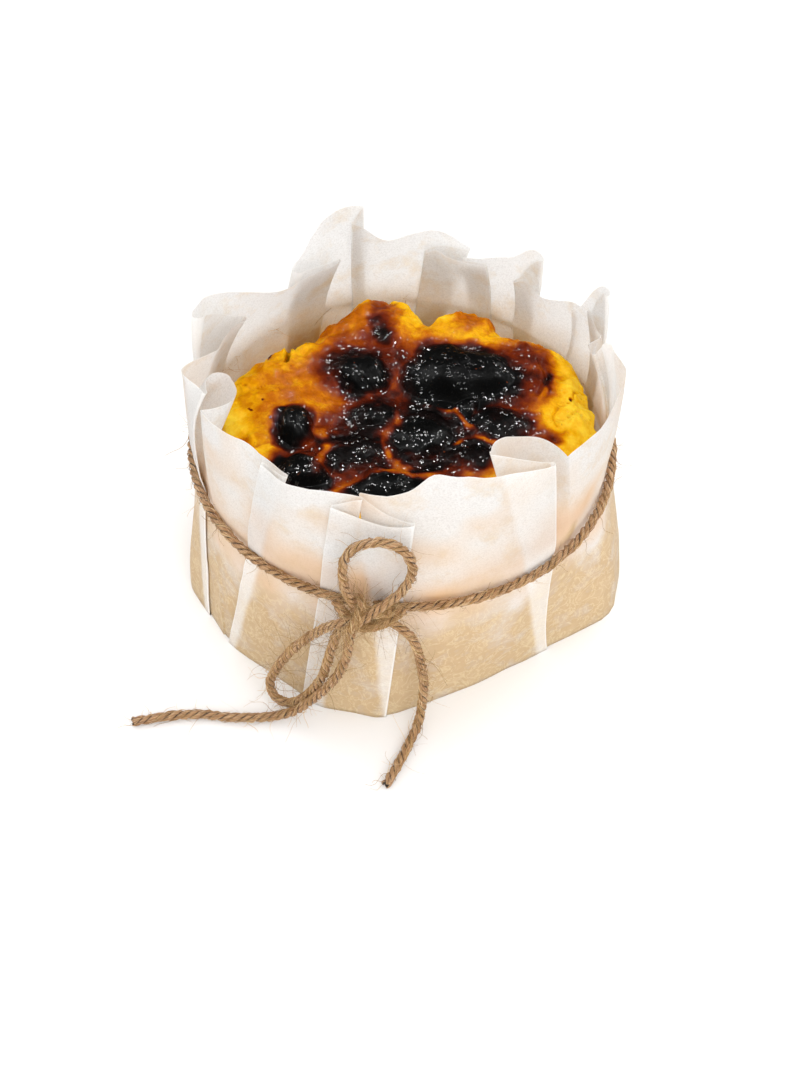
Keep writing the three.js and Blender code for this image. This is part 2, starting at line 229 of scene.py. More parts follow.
def new_material(name):
    """A material with an empty node tree and its output."""
    made = bpy.data.materials.new(name)
    made.use_nodes = True
    made.node_tree.nodes.clear()
    return made, made.node_tree, made.node_tree.nodes.new("ShaderNodeOutputMaterial")


def surface(name, points, faces, material, **attributes):
    """A smooth-shaded object from points in millimetres and faces of equal length. Each attribute is one
    number or three for each point."""
    mesh = bpy.data.meshes.new(name)
    points, faces = np.asarray(points, float), np.asarray(faces, int)
    count, corners = faces.shape
    mesh.vertices.add(len(points))
    mesh.vertices.foreach_set("co", (points / 1000).ravel())
    mesh.loops.add(count * corners)
    mesh.loops.foreach_set("vertex_index", faces.ravel())
    mesh.polygons.add(count)
    mesh.polygons.foreach_set("loop_start", np.arange(count) * corners)
    mesh.polygons.foreach_set("use_smooth", np.ones(count, bool))
    for key, values in attributes.items():
        values = np.asarray(values, float)
        vector = values.ndim == 2
        layer = mesh.attributes.new(key, "FLOAT_VECTOR" if vector else "FLOAT", "POINT")
        layer.data.foreach_set("vector" if vector else "value", values.ravel())
    mesh.update(calc_edges=True)
    mesh.validate()
    mesh.materials.append(material)
    made = bpy.data.objects.new(name, mesh)
    bpy.context.scene.collection.objects.link(made)
    return made


def grid_faces(rows, columns, closed=True):
    """Quads of a grid of points numbered row by row. Closed joins the last column to the first."""
    row, column = np.meshgrid(np.arange(rows - 1), np.arange(columns - (not closed)), indexing="ij")
    following = (column + 1) % columns
    a, b = row * columns + column, row * columns + following
    return np.stack([a, b, b + columns, a + columns], axis=-1).reshape(-1, 4)


def triangles(quads):
    """Each quad as two triangles."""
    return np.vstack([quads[:, [0, 1, 2]], quads[:, [0, 2, 3]]])


def fan(rim, hub, turned=False):
    """Triangles from each side of a closed rim to one point. Turned, they face the other way."""
    following = np.roll(rim, -1)
    sides = (following, rim) if turned else (rim, following)
    return np.stack([*sides, np.full(len(rim), hub)], axis=1)


def flat_place(angle, radius):
    """X and Y of what lies at an angle and a radius."""
    return radius * np.cos(np.radians(angle)), radius * np.sin(np.radians(angle))


def band_height(angle):
    """The tilted band's height: the waist's, plus the tilt times the cosine of the turn from its top."""
    return WAIST_HEIGHT + BAND_TILT * np.cos(np.radians(angle - BAND_TILT_ANGLE))


def smooth_route(points, spacing=STATION_SPACING):
    """A curve through the points, at even stations: in each span a cubic whose slope at either end is
    half the chord between the points before and after that end."""
    p = np.asarray(points, float)
    wide = np.vstack([2 * p[0] - p[1], p, 2 * p[-1] - p[-2]])
    a, b, c, d = (wide[k : k + len(p) - 1, None] for k in range(4))
    t = np.linspace(0, 1, SPAN_STEPS, endpoint=False)[None, :, None]
    spans = 2 * b + (c - a) * t + (2 * a - 5 * b + 4 * c - d) * t**2 + (3 * b - a - 3 * c + d) * t**3
    curve = np.vstack([spans.reshape(-1, 3) / 2, p[-1:]])
    run = np.concatenate([[0], np.cumsum(np.linalg.norm(np.diff(curve, axis=0), axis=1))])
    even = np.linspace(0, run[-1], int(run[-1] / spacing) + 1)
    return np.stack([np.interp(even, run, curve[:, k]) for k in range(3)], axis=1)


def unit(vectors):
    """Vectors divided by their lengths."""
    return vectors / np.linalg.norm(vectors, axis=-1, keepdims=True)


def frames(route):
    """A tangent and two cross directions at each station, carried along without twist: some perpendicular
    is taken at each, and the angle it slips by from one to the next is summed and turned back."""
    tangent = unit(np.gradient(route, axis=0))
    side = unit(np.cross(tangent, np.eye(3)[np.abs(tangent).argmin(axis=1)]))
    other = np.cross(tangent, side)
    before, after = tangent[:-1], tangent[1:]
    along = (side[:-1] * after).sum(axis=1) / (1 + (before * after).sum(axis=1))
    carried = side[:-1] - along[:, None] * (before + after)
    slip = np.arctan2((carried * other[1:]).sum(axis=1), (carried * side[1:]).sum(axis=1))
    turned = np.concatenate([[0], np.cumsum(slip)])[:, None]
    normal = np.cos(turned) * side + np.sin(turned) * other
    return tangent, normal, np.cross(tangent, normal)


def one_ply(route, ply, phase, opening):
    """One ply round a route. Its middle stands off the route and goes round it left-handed once a lay
    length. Its section is a circle with a few low ribs, as its fibres bunch. The ply itself is twisted
    right-handed, so that the fibres lie along the twine. Opening is how far the plies spread. Gives the
    ply's middle, its points at each station and side, and how far each is turned."""
    _, normal, binormal = frames(route)
    run = np.arange(len(route)) * STATION_SPACING
    around = np.linspace(0, 2 * np.pi, PLY_SIDES, endpoint=False)
    lay = -2 * np.pi * run / LAY_LENGTH + 2 * np.pi * ply / PLIES + phase
    out = np.cos(lay)[:, None] * normal + np.sin(lay)[:, None] * binormal
    middle = route + (PLY_OFFSET * opening)[:, None] * out
    _, across, up = frames(middle)
    turned = around[None] + (PLY_START_TURN * ply - 2 * np.pi * run / PLY_TWIST_LENGTH)[:, None]
    ribs = RIB_HEIGHT * (np.sin(3 * turned) + np.sin(5 * turned + ply))
    thick = 0.09 * np.sin(run / 3.7 + 2 * ply + phase) + 0.06 * np.sin(run / 1.9 + 3 * ply)
    radius = PLY_RADIUS * (1 + ribs + thick[:, None]) * (1 + 0.5 * (opening - 1))[:, None]
    ring = np.cos(around)[None, :, None] * across[:, None] + np.sin(around)[None, :, None] * up[:, None]
    return middle, middle[:, None] + radius[..., None] * ring, turned


def laid_twine(points, phase, flare):
    """Three plies laid round a route and closed at both ends. Flare opens the last end, by e to the minus
    half of the distance. A point's fibre is its place in its ply: the cosine and sine of its turn, and its
    run. Its depth is its distance from the twine's middle, and a cut end's middle gets a set one. The
    material paints shade by depth."""
    route = smooth_route(points)
    run = np.arange(len(route)) * STATION_SPACING
    opening = 1 + flare * np.exp((run - run[-1]) / 2)
    verts, faces, second_halves, fibres, depths = [], [], [], [], []
    for ply in range(PLIES):
        middle, tube, turned = one_ply(route, ply, phase, opening)
        near_rim = sum(len(v) for v in verts) + np.arange(PLY_SIDES)
        far_rim = near_rim + (len(route) - 1) * PLY_SIDES
        hub = far_rim[-1] + 1
        verts.append(np.vstack([tube.reshape(-1, 3), middle[[0, -1]]]))
        first_halves, others = np.split(near_rim[0] + triangles(grid_faces(len(route), PLY_SIDES)), 2)
        faces += [first_halves, fan(near_rim, hub, turned=True), fan(far_rim, hub + 1)]
        second_halves.append(others)
        along = np.broadcast_to(run[:, None], turned.shape)
        place = np.stack([np.cos(turned), np.sin(turned), along], axis=-1).reshape(-1, 3)
        fibres.append(np.vstack([place, np.zeros((2, 3))]) + [0, 0, PATTERN_SHIFT * ply])
        depth = np.linalg.norm(tube - route[:, None], axis=-1)
        depths.append(np.append(depth.ravel(), [CUT_END_SHADE_DEPTH, CUT_END_SHADE_DEPTH]))
    attributes = {"fibre": np.vstack(fibres), "depth": np.concatenate(depths)}
    return route, np.vstack(verts), np.vstack(faces + second_halves), attributes


def thin_tubes(path, thin, across, up):
    """Three-sided tubes along many paths at once: each point plus a radius times the ring's directions."""
    count, steps = path.shape[:2]
    ring = np.radians([0, 120, 240])
    spread = np.cos(ring)[:, None] * across[..., None, :] + np.sin(ring)[:, None] * up[..., None, :]
    tube = path[:, :, None] + thin[..., None] * spread
    first = np.arange(count)[:, None, None] * steps * len(ring)
    faces = (first + grid_faces(steps, len(ring))).reshape(-1, 4)
    return tube.reshape(-1, 3), faces


def loose_hairs(route, count, longest, seed):
    """Fine hairs that leave the surface at a slant and curl. Each path starts on the twine and goes on as
    start + length * (u * slant + u^2 * bend + a sideways wave). Each has a random tone from 0 to 1."""
    rng = np.random.default_rng(seed)
    tangent, normal, binormal = frames(route)
    at = rng.integers(1, len(route) - 1, count)
    angle = rng.uniform(0, 2 * np.pi, (count, 1))
    out = np.cos(angle) * normal[at] + np.sin(angle) * binormal[at]
    slant = unit(rng.choice([-1, 1], (count, 1)) * tangent[at] + rng.uniform(0.3, 1.2, (count, 1)) * out)
    bend = unit(rng.normal(size=(count, 3))) * rng.uniform(0.4, 1.4, (count, 1))
    sideways = unit(np.cross(slant, bend))
    size = longest * rng.uniform(0.25, 1, (count, 1)) ** 1.4
    u = np.linspace(0, 1, HAIR_POINTS)[None, :, None]
    wave = 0.2 * np.sin(rng.uniform(3, 8, (count, 1, 1)) * u + angle[:, :, None])
    lie = u * slant[:, None] + u**2 * bend[:, None] + wave * u * sideways[:, None]
    path = route[at][:, None] + HAIR_START * out[:, None] + size[:, :, None] * lie
    path[..., 2] = np.maximum(path[..., 2], HAIR_LOWEST)
    thin = rng.uniform(*HAIR_RADII, (count, 1, 1)) * (1 - 0.5 * u)
    return (*thin_tubes(path, thin, unit(bend)[:, None], sideways[:, None]), rng.uniform(0, 1, count))


def lying_strands(route, count, seed):
    """Strands that have worked loose but still lie on the twine: each goes along the route and round it a
    little faster or slower than the plies, and lifts off in the middle as a sine."""
    rng = np.random.default_rng(seed)
    _, normal, binormal = frames(route)
    length = rng.integers(*STRAND_STATIONS, (count, 1))
    start = (rng.uniform(0, 1, (count, 1)) * (len(route) - 1 - length)).clip(0)
    u = np.linspace(0, 1, STRAND_POINTS)[None]
    at = np.clip(np.rint(start + length * u).astype(int), 0, len(route) - 1)
    turn = -2 * np.pi * STATION_SPACING * length * u / LAY_LENGTH * rng.uniform(0.4, 1.5, (count, 1))
    angle = rng.uniform(0, 2 * np.pi, (count, 1)) + turn
    out = np.cos(angle)[..., None] * normal[at] + np.sin(angle)[..., None] * binormal[at]
    side = np.cos(angle)[..., None] * binormal[at] - np.sin(angle)[..., None] * normal[at]
    lift = STRAND_START + rng.uniform(0, STRAND_LIFT, (count, 1)) * np.sin(np.pi * u)
    path = route[at] + lift[..., None] * out
    path[..., 2] = np.maximum(path[..., 2], STRAND_LOWEST)
    thin = rng.uniform(*STRAND_RADII, (count, 1)) * (0.5 + 0.5 * np.sin(np.pi * u))
    return (*thin_tubes(path, thin[..., None], out, side), rng.uniform(0, 1, count))


def jute_material():
    """Jute: dull tan bast fibres that lie along each ply, pale where single ones catch the light. Shade is
    painted dark brown into the gaps between plies, darker towards the twine's middle. Its streaks are about
    0.2 mm wide and 3 mm long, which is coarser than single fibres, or none would show."""
    material, tree, output = new_material("jute_twine")
    fibre = add(tree, "ShaderNodeAttribute", attribute_name="fibre")
    stretch = add(
        tree, "ShaderNodeMapping", {"Vector": fibre.outputs["Vector"], "Scale": (1.0, 1.0, 0.07)}
    )
    strands = add(
        tree,
        "ShaderNodeTexNoise",
        {"Vector": stretch.outputs[0], "Scale": 4.2, "Detail": 3.0, "Roughness": 0.65},
    )
    hue = add(
        tree,
        "ShaderNodeValToRGB",
        {"Fac": strands.outputs["Fac"]},
        stops=[(0.36, "#6e4527"), (0.45, "#a4784d"), (0.54, "#c29669"), (0.66, "#e6c79f")],
    )
    depth = add(tree, "ShaderNodeAttribute", attribute_name="depth")
    # Painted shade: the colour darkens towards the twine's middle, in the grooves between plies and at a
    # cut end's middle.
    painted_groove_shade = add(
        tree,
        "ShaderNodeMapRange",
        {"Value": depth.outputs["Fac"], "From Min": 0.76, "From Max": 1.25, "To Min": 0.06, "To Max": 1.0},
        interpolation_type="SMOOTHSTEP",
    )
    shaded = add(
        tree,
        "ShaderNodeVectorMath",
        {0: hue.outputs["Color"], "Scale": painted_groove_shade.outputs["Result"]},
        operation="SCALE",
    )
    bump = add(
        tree, "ShaderNodeBump", {"Height": strands.outputs["Fac"], "Strength": 0.9, "Distance": 0.0005}
    )
    shader = add(
        tree,
        "ShaderNodeBsdfPrincipled",
        {
            "Base Color": shaded.outputs["Vector"],
            "Roughness": 0.8,
            "Specular IOR Level": 0.25,
            "Sheen Weight": 0.15,
            "Normal": bump.outputs["Normal"],
        },
    )
    tree.links.new(shader.outputs[0], output.inputs["Surface"])
    return material


def hair_material():
    """Single jute fibres: from pale straw to brown, each of one tone."""
    material, tree, output = new_material("loose_jute_fibre")
    tone = add(tree, "ShaderNodeAttribute", attribute_name="tone")
    hue = add(
        tree,
        "ShaderNodeValToRGB",
        {"Fac": tone.outputs["Fac"]},
        stops=[(0.0, "#8e683c"), (0.4, "#b48c58"), (0.75, "#cfaa78"), (1.0, "#e8cda0")],
    )
    shader = add(
        tree,
        "ShaderNodeBsdfPrincipled",
        {"Base Color": hue.outputs["Color"], "Roughness": 0.6, "Specular IOR Level": 0.3},
    )
    tree.links.new(shader.outputs[0], output.inputs["Surface"])
    return material


jute = jute_material()
hair = hair_material()

band_angles = KNOT_ANGLE + BAND_END_GAP + (360 - 2 * BAND_END_GAP) * np.linspace(0, 1, BAND_POINTS)
band_route = np.stack([*flat_place(band_angles, BAND_RADIUS), band_height(band_angles)], axis=1)

# Each length of twine: name, route, turn of its lay, how its last end flares, what that end is where the
# length is free, and its hairs: how many, how long the longest is, and their seed.
hair_sets = []
for name, points, phase, flare, far_end, *hairs in (
    ("twine_band", band_route, 0.4, 0, None, 460, 6, 1),
    ("twine_knot_wrap", KNOT_WRAP, 1.0, 0, None, 170, 10, 2),
    ("twine_knot_tuck", KNOT_TUCK, 2.2, 0, None, 160, 10, 3),
    ("twine_knot_pass", KNOT_PASS, 0.3, 0, None, 120, 9, 4),
    ("twine_loop_standing", STANDING_LOOP, 0.2, 0, "object", 120, 7, 5),
    ("twine_loop_hanging", HANGING_LOOP, 1.3, 0, "object", 190, 10, 6),
    ("twine_end_left", LEFT_END, 2.0, CUT_END_FLARE, "bare", 110, 7, 7),
    ("twine_end_right", RIGHT_END, 0.9, CUT_END_FLARE, "bare", 120, 9, 8),
):
    route, verts, faces, attributes = laid_twine(points, phase, flare)
    part = surface(name, verts, faces, jute, **attributes)
    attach(part, "root")
    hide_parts("twine")
    hair_sets.append((route, *hairs))

hair_verts, hair_faces, hair_tones = [], [], []
for route, count, longest, seed in hair_sets:
    for verts, faces, tones in (
        loose_hairs(route, count, longest, seed),
        lying_strands(route, int(count * STRANDS_A_HAIR), seed),
    ):
        hair_faces.append(faces + sum(len(v) for v in hair_verts))
        hair_verts.append(verts)
        hair_tones.append(np.repeat(tones, len(verts) // len(tones)))
fluff = surface(
    "twine_fluff", np.vstack(hair_verts), np.vstack(hair_faces), hair, tone=np.concatenate(hair_tones)
)
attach(fluff, "root")
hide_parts("twine")

# ---- Baking paper ----
# One square sheet of silicone-coated parchment, pressed up round the cake. Its wall goes round in
# pleats: at each the sheet turns back on itself, then on again. The twine draws a waist, and above it
# the pleats open towards the rim. Fat has soaked its lower part, which is more see-through.

RIM_RADIUS = 64
SIDE_BULGE = 1.5
WAIST_RADIUS = 61.8
CREASE_RADIUS = 0.22

BASE_CORNERS = [
    (12, 66.5),
    (42, 65.5),
    (77, 66.5),
    (113, 66.5),
    (144, 66.5),
    (188, 68.2),
    (212, 63.6),
    (245, 64),
    (265.5, 63.4),
    (295, 55),
    (341, 69.5),
    (357, 68.5),
]

# back: angle, radius and height at the rim where the sheet turns back
# on: angle, radius and height at the rim where it turns on again
# curl: the radius of those two turns at the rim
# base: the angles of the two turns at the underside
# reach: over how many degrees the sheet then goes back to the plain wall
# lead: degrees before the pleat over which the sheet leaves the wall at the rim
# grip: how much longer than the rest the pleat stays closed on its way up
# arch: a free arch of the rim that follows the pleat, as two guide points and its end
PLEATS = [
    {"back": (33.2, 62.2, 78), "on": (32.2, 65, 77), "curl": (0.9, 0.8), "base": (39, 36)},
    {"back": (56, 61.8, 71), "on": (48.5, 65.3, 82), "curl": (1.2, 0.9), "base": (54, 50)},
    {"back": (72, 60.4, 76), "on": (63.8, 58.4, 78), "curl": (0.7, 0.8), "base": (66, 62)},
    {"back": (83.5, 60.3, 76), "on": (70.5, 63.4, 78), "curl": (0.8, 0.8), "base": (91, 88), "reach": 6},
    {"back": (104.8, 61, 87), "on": (100.8, 62.8, 93), "curl": (0.6, 0.6), "base": (105, 101)},
    {
        "back": (125.5, 57, 84),
        "on": (110.5, 53.8, 79),
        "curl": (2.4, 0.7),
        "base": (127, 121),
        "lead": 12,
        "reach": 34,
    },
    {"back": (167.5, 62.3, 95), "on": (150, 55.4, 83), "curl": (2, 1.7), "base": (166, 159), "reach": 13},
    {
        "back": (197.5, 59.4, 96),
        "on": (187, 54.5, 93),
        "curl": (0.6, 3.8),
        "base": (201, 198.5),
        "grip": 3,
        "lead": 14,
        "arch": ((199, 48.5), (209, 52), (206.6, 64, 100)),
    },
    {"back": (240, 63.4, 102), "on": (232.3, 64.6, 101), "curl": (0.6, 0.6), "base": (215.5, 212)},
    {"back": (260, 63.4, 101), "on": (252, 64.6, 97), "curl": (0.6, 0.6), "base": (248, 241)},
    {"back": (273.2, 64.6, 90), "on": (258.8, 61.9, 101), "curl": (0.6, 0.6), "base": (265.5, 264.2)},
    {
        "back": (311.3, 64.8, 102),
        "on": (294.3, 58.4, 104),
        "curl": (0.7, 0.8),
        "base": (320.8, 317),
        "arch": ((301, 47.5), (321, 45), (317.4, 64, 98)),
    },
    {"back": (365, 60.5, 93), "on": (361.5, 56.5, 92), "curl": (1.6, 0.8), "base": (363, 358), "lead": 10},
    {"back": (385, 61.8, 80), "on": (379, 64.4, 95), "curl": (0.8, 1), "base": (379, 375)},
]

# Where the rim stands above or below a straight line from pleat to pleat: angle, rise, half width.
RIM_WAVES = [
    (23.5, 6, 4),
    (52.5, 4, 4),
    (79, 3, 6),
    (93, -4, 7),
    (108, 4, 8),
    (136, -5, 13),
    (222, 5, 12),
    (278.5, 4.5, 4.5),
    (290, 7, 15),
    (286, 2.4, 4),
    (313, -2, 6),
]

CREASE_STEPS = 8
WALL_STEP_DEGREES = 1.5
ARCH_STEPS = 30
ARCH_BASE_DEGREES = 8
OVERLAP_MARGIN = 3
CORNER_BLUNTING = 3
USUAL_REACH = 9
OPENING_POWER = 1.25
PAPER_ROWS = 84
CALM_FOOT = 12
CALM_SEAM = 12
TWINE_NIP = 0.15
TWINE_NIP_HEIGHT = 4.5
LATTICE = 256
# The wall's length for one degree, and all the way round.
WALL_DEGREE = 1.1
WALL_ARC = 360 * WALL_DEGREE
# Stands for no crease or overlap nearby.
FAR = 99

# How high the fat soaked, how far below that it starts to thin, and over what height it ends.
SOAK_HEIGHT = 44
SOAK_THINS = 14
SOAK_FADE = 24
# Where fat came further up the wall or the paper stayed dry: angle, height, half widths, how much more. The
# first is painted shade, not fat: it darkens the hollow just above the twine at the front right.
FAT_AND_SHADE_PATCHES = [
    (323.5, 58, 2.4, 4, 0.9),
    (336, 44, 7, 8, -0.9),
    (300, 26, 6, 9, -0.25),
    (226, 22, 5, 12, 0.2),
]
# Where the painted glow of the cake's yellow through the paper is strongest, and from where up the sheet
# stands quite free of it.
CAKE_GLOW_HEIGHT = 55
CAKE_GLOW_HALF_HEIGHT = 19
FREE_HEIGHT = 67
FREE_FADE = 12

# Level 0 is the underside, 0.5 the waist and 1 the rim.
levels = np.linspace(0, 1, PAPER_ROWS)[:, None]


def mix(a, b, t):
    """a where t is 0 and b where it is 1."""
    return a + (b - a) * t


def fade(x):
    """Falls from 1 to 0 with level ends while x goes from 0 to 1."""
    t = np.clip(x, 0, 1)
    return (1 - t) ** 2 * (1 + 2 * t)


def swell(angle, centre, half_width):
    """A bump of height 1 at an angle: e to the minus square of the turn over the half width."""
    away = (angle - centre + 180) % 360 - 180
    return np.exp(-((away / half_width) ** 2))


def side_radius(angle):
    """How far out the straight side between the two nearest corners runs: the ray's cut with the chord."""
    corners = np.array(BASE_CORNERS)
    at = np.asarray(angle) % 360
    following = np.searchsorted(corners[:, 0], at, side="right") % len(corners)
    b, a = corners[following], corners[following - 1]
    ax, ay = flat_place(a[..., 0], a[..., 1])
    bx, by = flat_place(b[..., 0], b[..., 1])
    across = ax * (by - ay) - ay * (bx - ax)
    return across / (np.cos(np.radians(at)) * (by - ay) - np.sin(np.radians(at)) * (bx - ax))


def base_radius(angle):
    """The underside's outline: the mean of the side's radius here and a little way to either hand."""
    return sum(side_radius(angle + turn) for turn in (-CORNER_BLUNTING, 0, CORNER_BLUNTING)) / 3


def wall_radius(angle, level):
    """The plain wall: from the underside's outline to the round waist as level^1.5, then out to the rim,
    which bulges at the left and right as the sixth power of the angle's cosine."""
    low = mix(base_radius(angle), WAIST_RADIUS, np.clip(2 * level, 0, 1) ** 1.5)
    rim = RIM_RADIUS + SIDE_BULGE * np.cos(np.radians(angle)) ** 6
    high = mix(WAIST_RADIUS, rim, 1 - (2 - 2 * np.clip(level, 0.5, 1)) ** 2)
    return np.where(level <= 0.5, low, high)


def height_at(rise, level):
    """The waist's height in proportion below it, and above it on towards the rim's height there."""
    return np.where(level <= 0.5, WAIST_HEIGHT * 2 * level, mix(WAIST_HEIGHT, rise, 2 * level - 1))


opening = np.clip(2 * levels - 1, 0, 1) ** OPENING_POWER


def fold(pleat, which, side, stack):
    """One turn of a pleat at every level: its angle goes from the base's to the rim's with height, and its
    radius from the closed stack on the wall to the free one as the pleat opens."""
    angle, radius, rise = pleat[("back", "on")[which]]
    base_angle, curl = pleat["base"][which], pleat["curl"][which]
    opened = opening ** pleat.get("grip", 1)
    height = height_at(rise, levels)
    at = mix(base_angle, angle, height / rise)
    closed = wall_radius(at, levels) + side * stack * CREASE_RADIUS
    return {
        "angle": at,
        "radius": mix(closed, radius, opened),
        "rise": np.full_like(at, rise),
        "curl": mix(CREASE_RADIUS, curl, opened),
    }


def round_turn(turn, stack, facing, steps=CREASE_STEPS):
    """A half round of the sheet, angle and radius going as cosine and sine of a swing by half a turn."""
    swing = np.radians(np.linspace(-90, 90, steps + 1))[None]
    angle = turn["angle"] + np.degrees(facing * turn["curl"] * (np.cos(swing) - 1) / turn["radius"])
    radius = turn["radius"] + stack * turn["curl"] * np.sin(swing)
    return np.stack([angle, radius, np.broadcast_to(turn["rise"], angle.shape)], axis=-1)


def between(start, end, steps):
    """Points strictly between two others, evenly spaced."""
    t = np.linspace(0, 1, steps + 1)[1:-1][None, :, None]
    return mix(start[:, None], end[:, None], t)


def wall_between(start, end, leave, arrive, steps):
    """The plain stretch from one pleat to the next: each pleat's offset from the wall holds for as long as
    its own layers last, then fades. The stronger counts where both lie to one side."""
    stretch = between(start, end, steps)
    angle = stretch[..., 0]
    left = (start[:, 1] - wall_radius(start[:, 0], levels[:, 0]))[:, None] * fade(
        (angle - start[:, :1] - leave[0]) / leave[1]
    )
    met = (end[:, 1] - wall_radius(end[:, 0], levels[:, 0]))[:, None] * fade(
        (end[:, :1] - angle - arrive[0]) / arrive[1]
    )
    stronger = np.where(np.abs(left) > np.abs(met), left, met)
    offset = np.where(left * met > 0, stronger, left + met)
    stretch[..., 1] = wall_radius(angle, levels) + offset
    return stretch


def arch_after(start, rise, arch, base_end):
    """A cubic curve that lies on the wall below the waist and swings free above, through two guides."""
    guide_a, guide_b, end = arch
    end_angle = mix(base_end, end[0], height_at(rise, levels) / rise)
    stacked = start[:, 1:2] - wall_radius(start[:, :1], levels)
    controls = [start[:, :2][:, None]]
    for share, free in ((1 / 3, guide_a), (2 / 3, guide_b)):
        angle = mix(start[:, :1], end_angle, share)
        closed = wall_radius(angle, levels) + stacked
        controls.append(
            np.stack([mix(angle, free[0], opening), mix(closed, free[1], opening)], axis=-1)
        )
    last = mix(wall_radius(end_angle, levels), end[1], opening)
    controls.append(np.stack([end_angle, last], axis=-1))
    t = np.linspace(0, 1, ARCH_STEPS + 1)[1:]
    weights = [(1 - t) ** 3, 3 * t * (1 - t) ** 2, 3 * t * t * (1 - t), t**3]
    flat = sum(w[None, :, None] * c for w, c in zip(weights, controls))
    rises = np.broadcast_to(mix(rise, end[2], t)[None, :, None], (*flat.shape[:2], 1))
    return np.concatenate([flat, rises], axis=-1)


def paper_path():
    """The whole sheet as angle, radius and rim height on a grid of levels by stations. Also how far, in
    millimetres, each station lies inside the band where its pleat has three layers, and how far it is
    from an outer crease."""
    ordered = sorted(PLEATS, key=lambda pleat: pleat["base"][0])
    path, inside, crease = [], [], []
    for i, pleat in enumerate(ordered):
        following = ordered[(i + 1) % len(ordered)]
        once_more = 0 if i + 1 < len(ordered) else 360
        stack = np.sign(pleat["on"][1] - pleat["back"][1])
        back, on = fold(pleat, 0, -1, stack), fold(pleat, 1, 1, stack)
        turned_back, turned_on = round_turn(back, stack, 1), round_turn(on, stack, -1)
        layers = int((pleat["back"][0] - pleat["on"][0]) / WALL_STEP_DEGREES) + 2
        piece = [turned_back, between(turned_back[:, -1], turned_on[:, 0], layers), turned_on]
        overlap = (back["angle"] - on["angle"])[:, 0] + OVERLAP_MARGIN
        leave = (overlap[:, None], pleat.get("reach", USUAL_REACH))
        if "arch" in pleat:
            rise = pleat["on"][2]
            piece.append(
                arch_after(turned_on[:, -1], rise, pleat["arch"], pleat["base"][0] + ARCH_BASE_DEGREES)
            )
            leave = (0, USUAL_REACH)
        step = np.sign(following["on"][1] - following["back"][1])
        next_back, next_on = fold(following, 0, -1, step), fold(following, 1, 1, step)
        to = round_turn(next_back, step, 1, 2)[:, 0] + [once_more, 0, 0]
        margin = (next_back["angle"] - next_on["angle"])[:, 0] + OVERLAP_MARGIN
        if "lead" in following:
            arrive = (mix(margin[:, None], 0, opening), following["lead"])
        else:
            arrive = (margin[:, None], USUAL_REACH)
        span = max(following["base"][0] - pleat["base"][1], following["back"][0] - pleat["on"][0])
        steps = math.ceil((span + once_more) / WALL_STEP_DEGREES)
        piece.append(wall_between(piece[-1][:, -1], to, leave, arrive, steps))
        piece = np.concatenate(piece, axis=1)
        # How far each station lies inside the three layers of this pleat, or of the next.
        own = back["angle"] - piece[..., 0]
        own = np.where(stack > 0, own, -FAR)
        own[:, : turned_back.shape[1] + layers - 1] = -FAR
        if stack < 0:
            own[:, : turned_back.shape[1]] = back["angle"] - on["angle"]
        ahead = piece[..., 0] - (next_on["angle"] + once_more)
        ahead = np.where(step < 0, ahead, -FAR)
        inside.append(np.radians(np.maximum(own, ahead)) * piece[..., 1])
        # How far it is from the nearest outer crease.
        behind = piece[..., 0] - on["angle"] if stack > 0 else np.full_like(piece[..., 0], FAR)
        behind[:, : turned_back.shape[1]] = FAR if stack > 0 else 0
        behind[:, turned_back.shape[1] : turned_back.shape[1] + layers - 1] = FAR
        before = next_back["angle"] + once_more - piece[..., 0] if step < 0 else FAR
        crease.append(np.radians(np.minimum(np.abs(behind), np.abs(before))) * piece[..., 1])
        path.append(piece)
    return tuple(np.concatenate(part, axis=1) for part in (path, inside, crease))


def value_noise(x, y, seed):
    """Smooth noise from -1 to 1 with one lump a unit: random lattice values joined by 3t^2 - 2t^3."""
    table = np.random.default_rng(seed).uniform(-1, 1, (LATTICE, LATTICE))
    i, j = np.floor(x).astype(int), np.floor(y).astype(int)
    u, v = x - i, y - j
    u, v = u * u * (3 - 2 * u), v * v * (3 - 2 * v)
    left, right, low, high = i % LATTICE, (i + 1) % LATTICE, j % LATTICE, (j + 1) % LATTICE
    lower = mix(table[left, low], table[right, low], u)
    return mix(lower, mix(table[left, high], table[right, high], u), v)


def paper_sheet():
    """The paper's points: the path with rim waves, a nip at the twine and slow crumples that move every
    layer at one place alike, so that none crosses the next. The crumples are calm at the foot, at the
    grid's seam and under the twine."""
    path, inside, crease = paper_path()
    angle, radius, rise = path[..., 0], path[..., 1], path[..., 2]
    rise = rise + sum(height * swell(angle, centre, half) for centre, height, half in RIM_WAVES)
    z = height_at(rise, levels)
    arc = (angle % 360) * WALL_DEGREE
    low = np.clip(z / CALM_FOOT, 0, 1)
    crumple = 0.55 * value_noise(arc / 14, z / 26, 5) + 0.3 * value_noise(arc / 5 + z / 30, z / 17, 6)
    seam = fade(np.abs(arc - WALL_ARC * np.round(arc / WALL_ARC)) / CALM_SEAM)
    sharp = (1 - np.abs(value_noise(arc / 8 + z / 60, z / 45, 7))) ** 7
    held = np.exp(-(((z - band_height(angle)) / TWINE_NIP_HEIGHT) ** 2))
    calmed = low * (1 - seam) * (1 - 0.8 * held)
    radius = radius + (crumple + 0.3 * sharp) * calmed - TWINE_NIP * held
    points = np.stack([*flat_place(angle, radius), z], axis=-1)
    # The crease distance also counts the distance down from the rim, so that the painted highlight runs
    # along the rim's cut edge too.
    return points, inside, np.minimum(crease, rise - z), angle


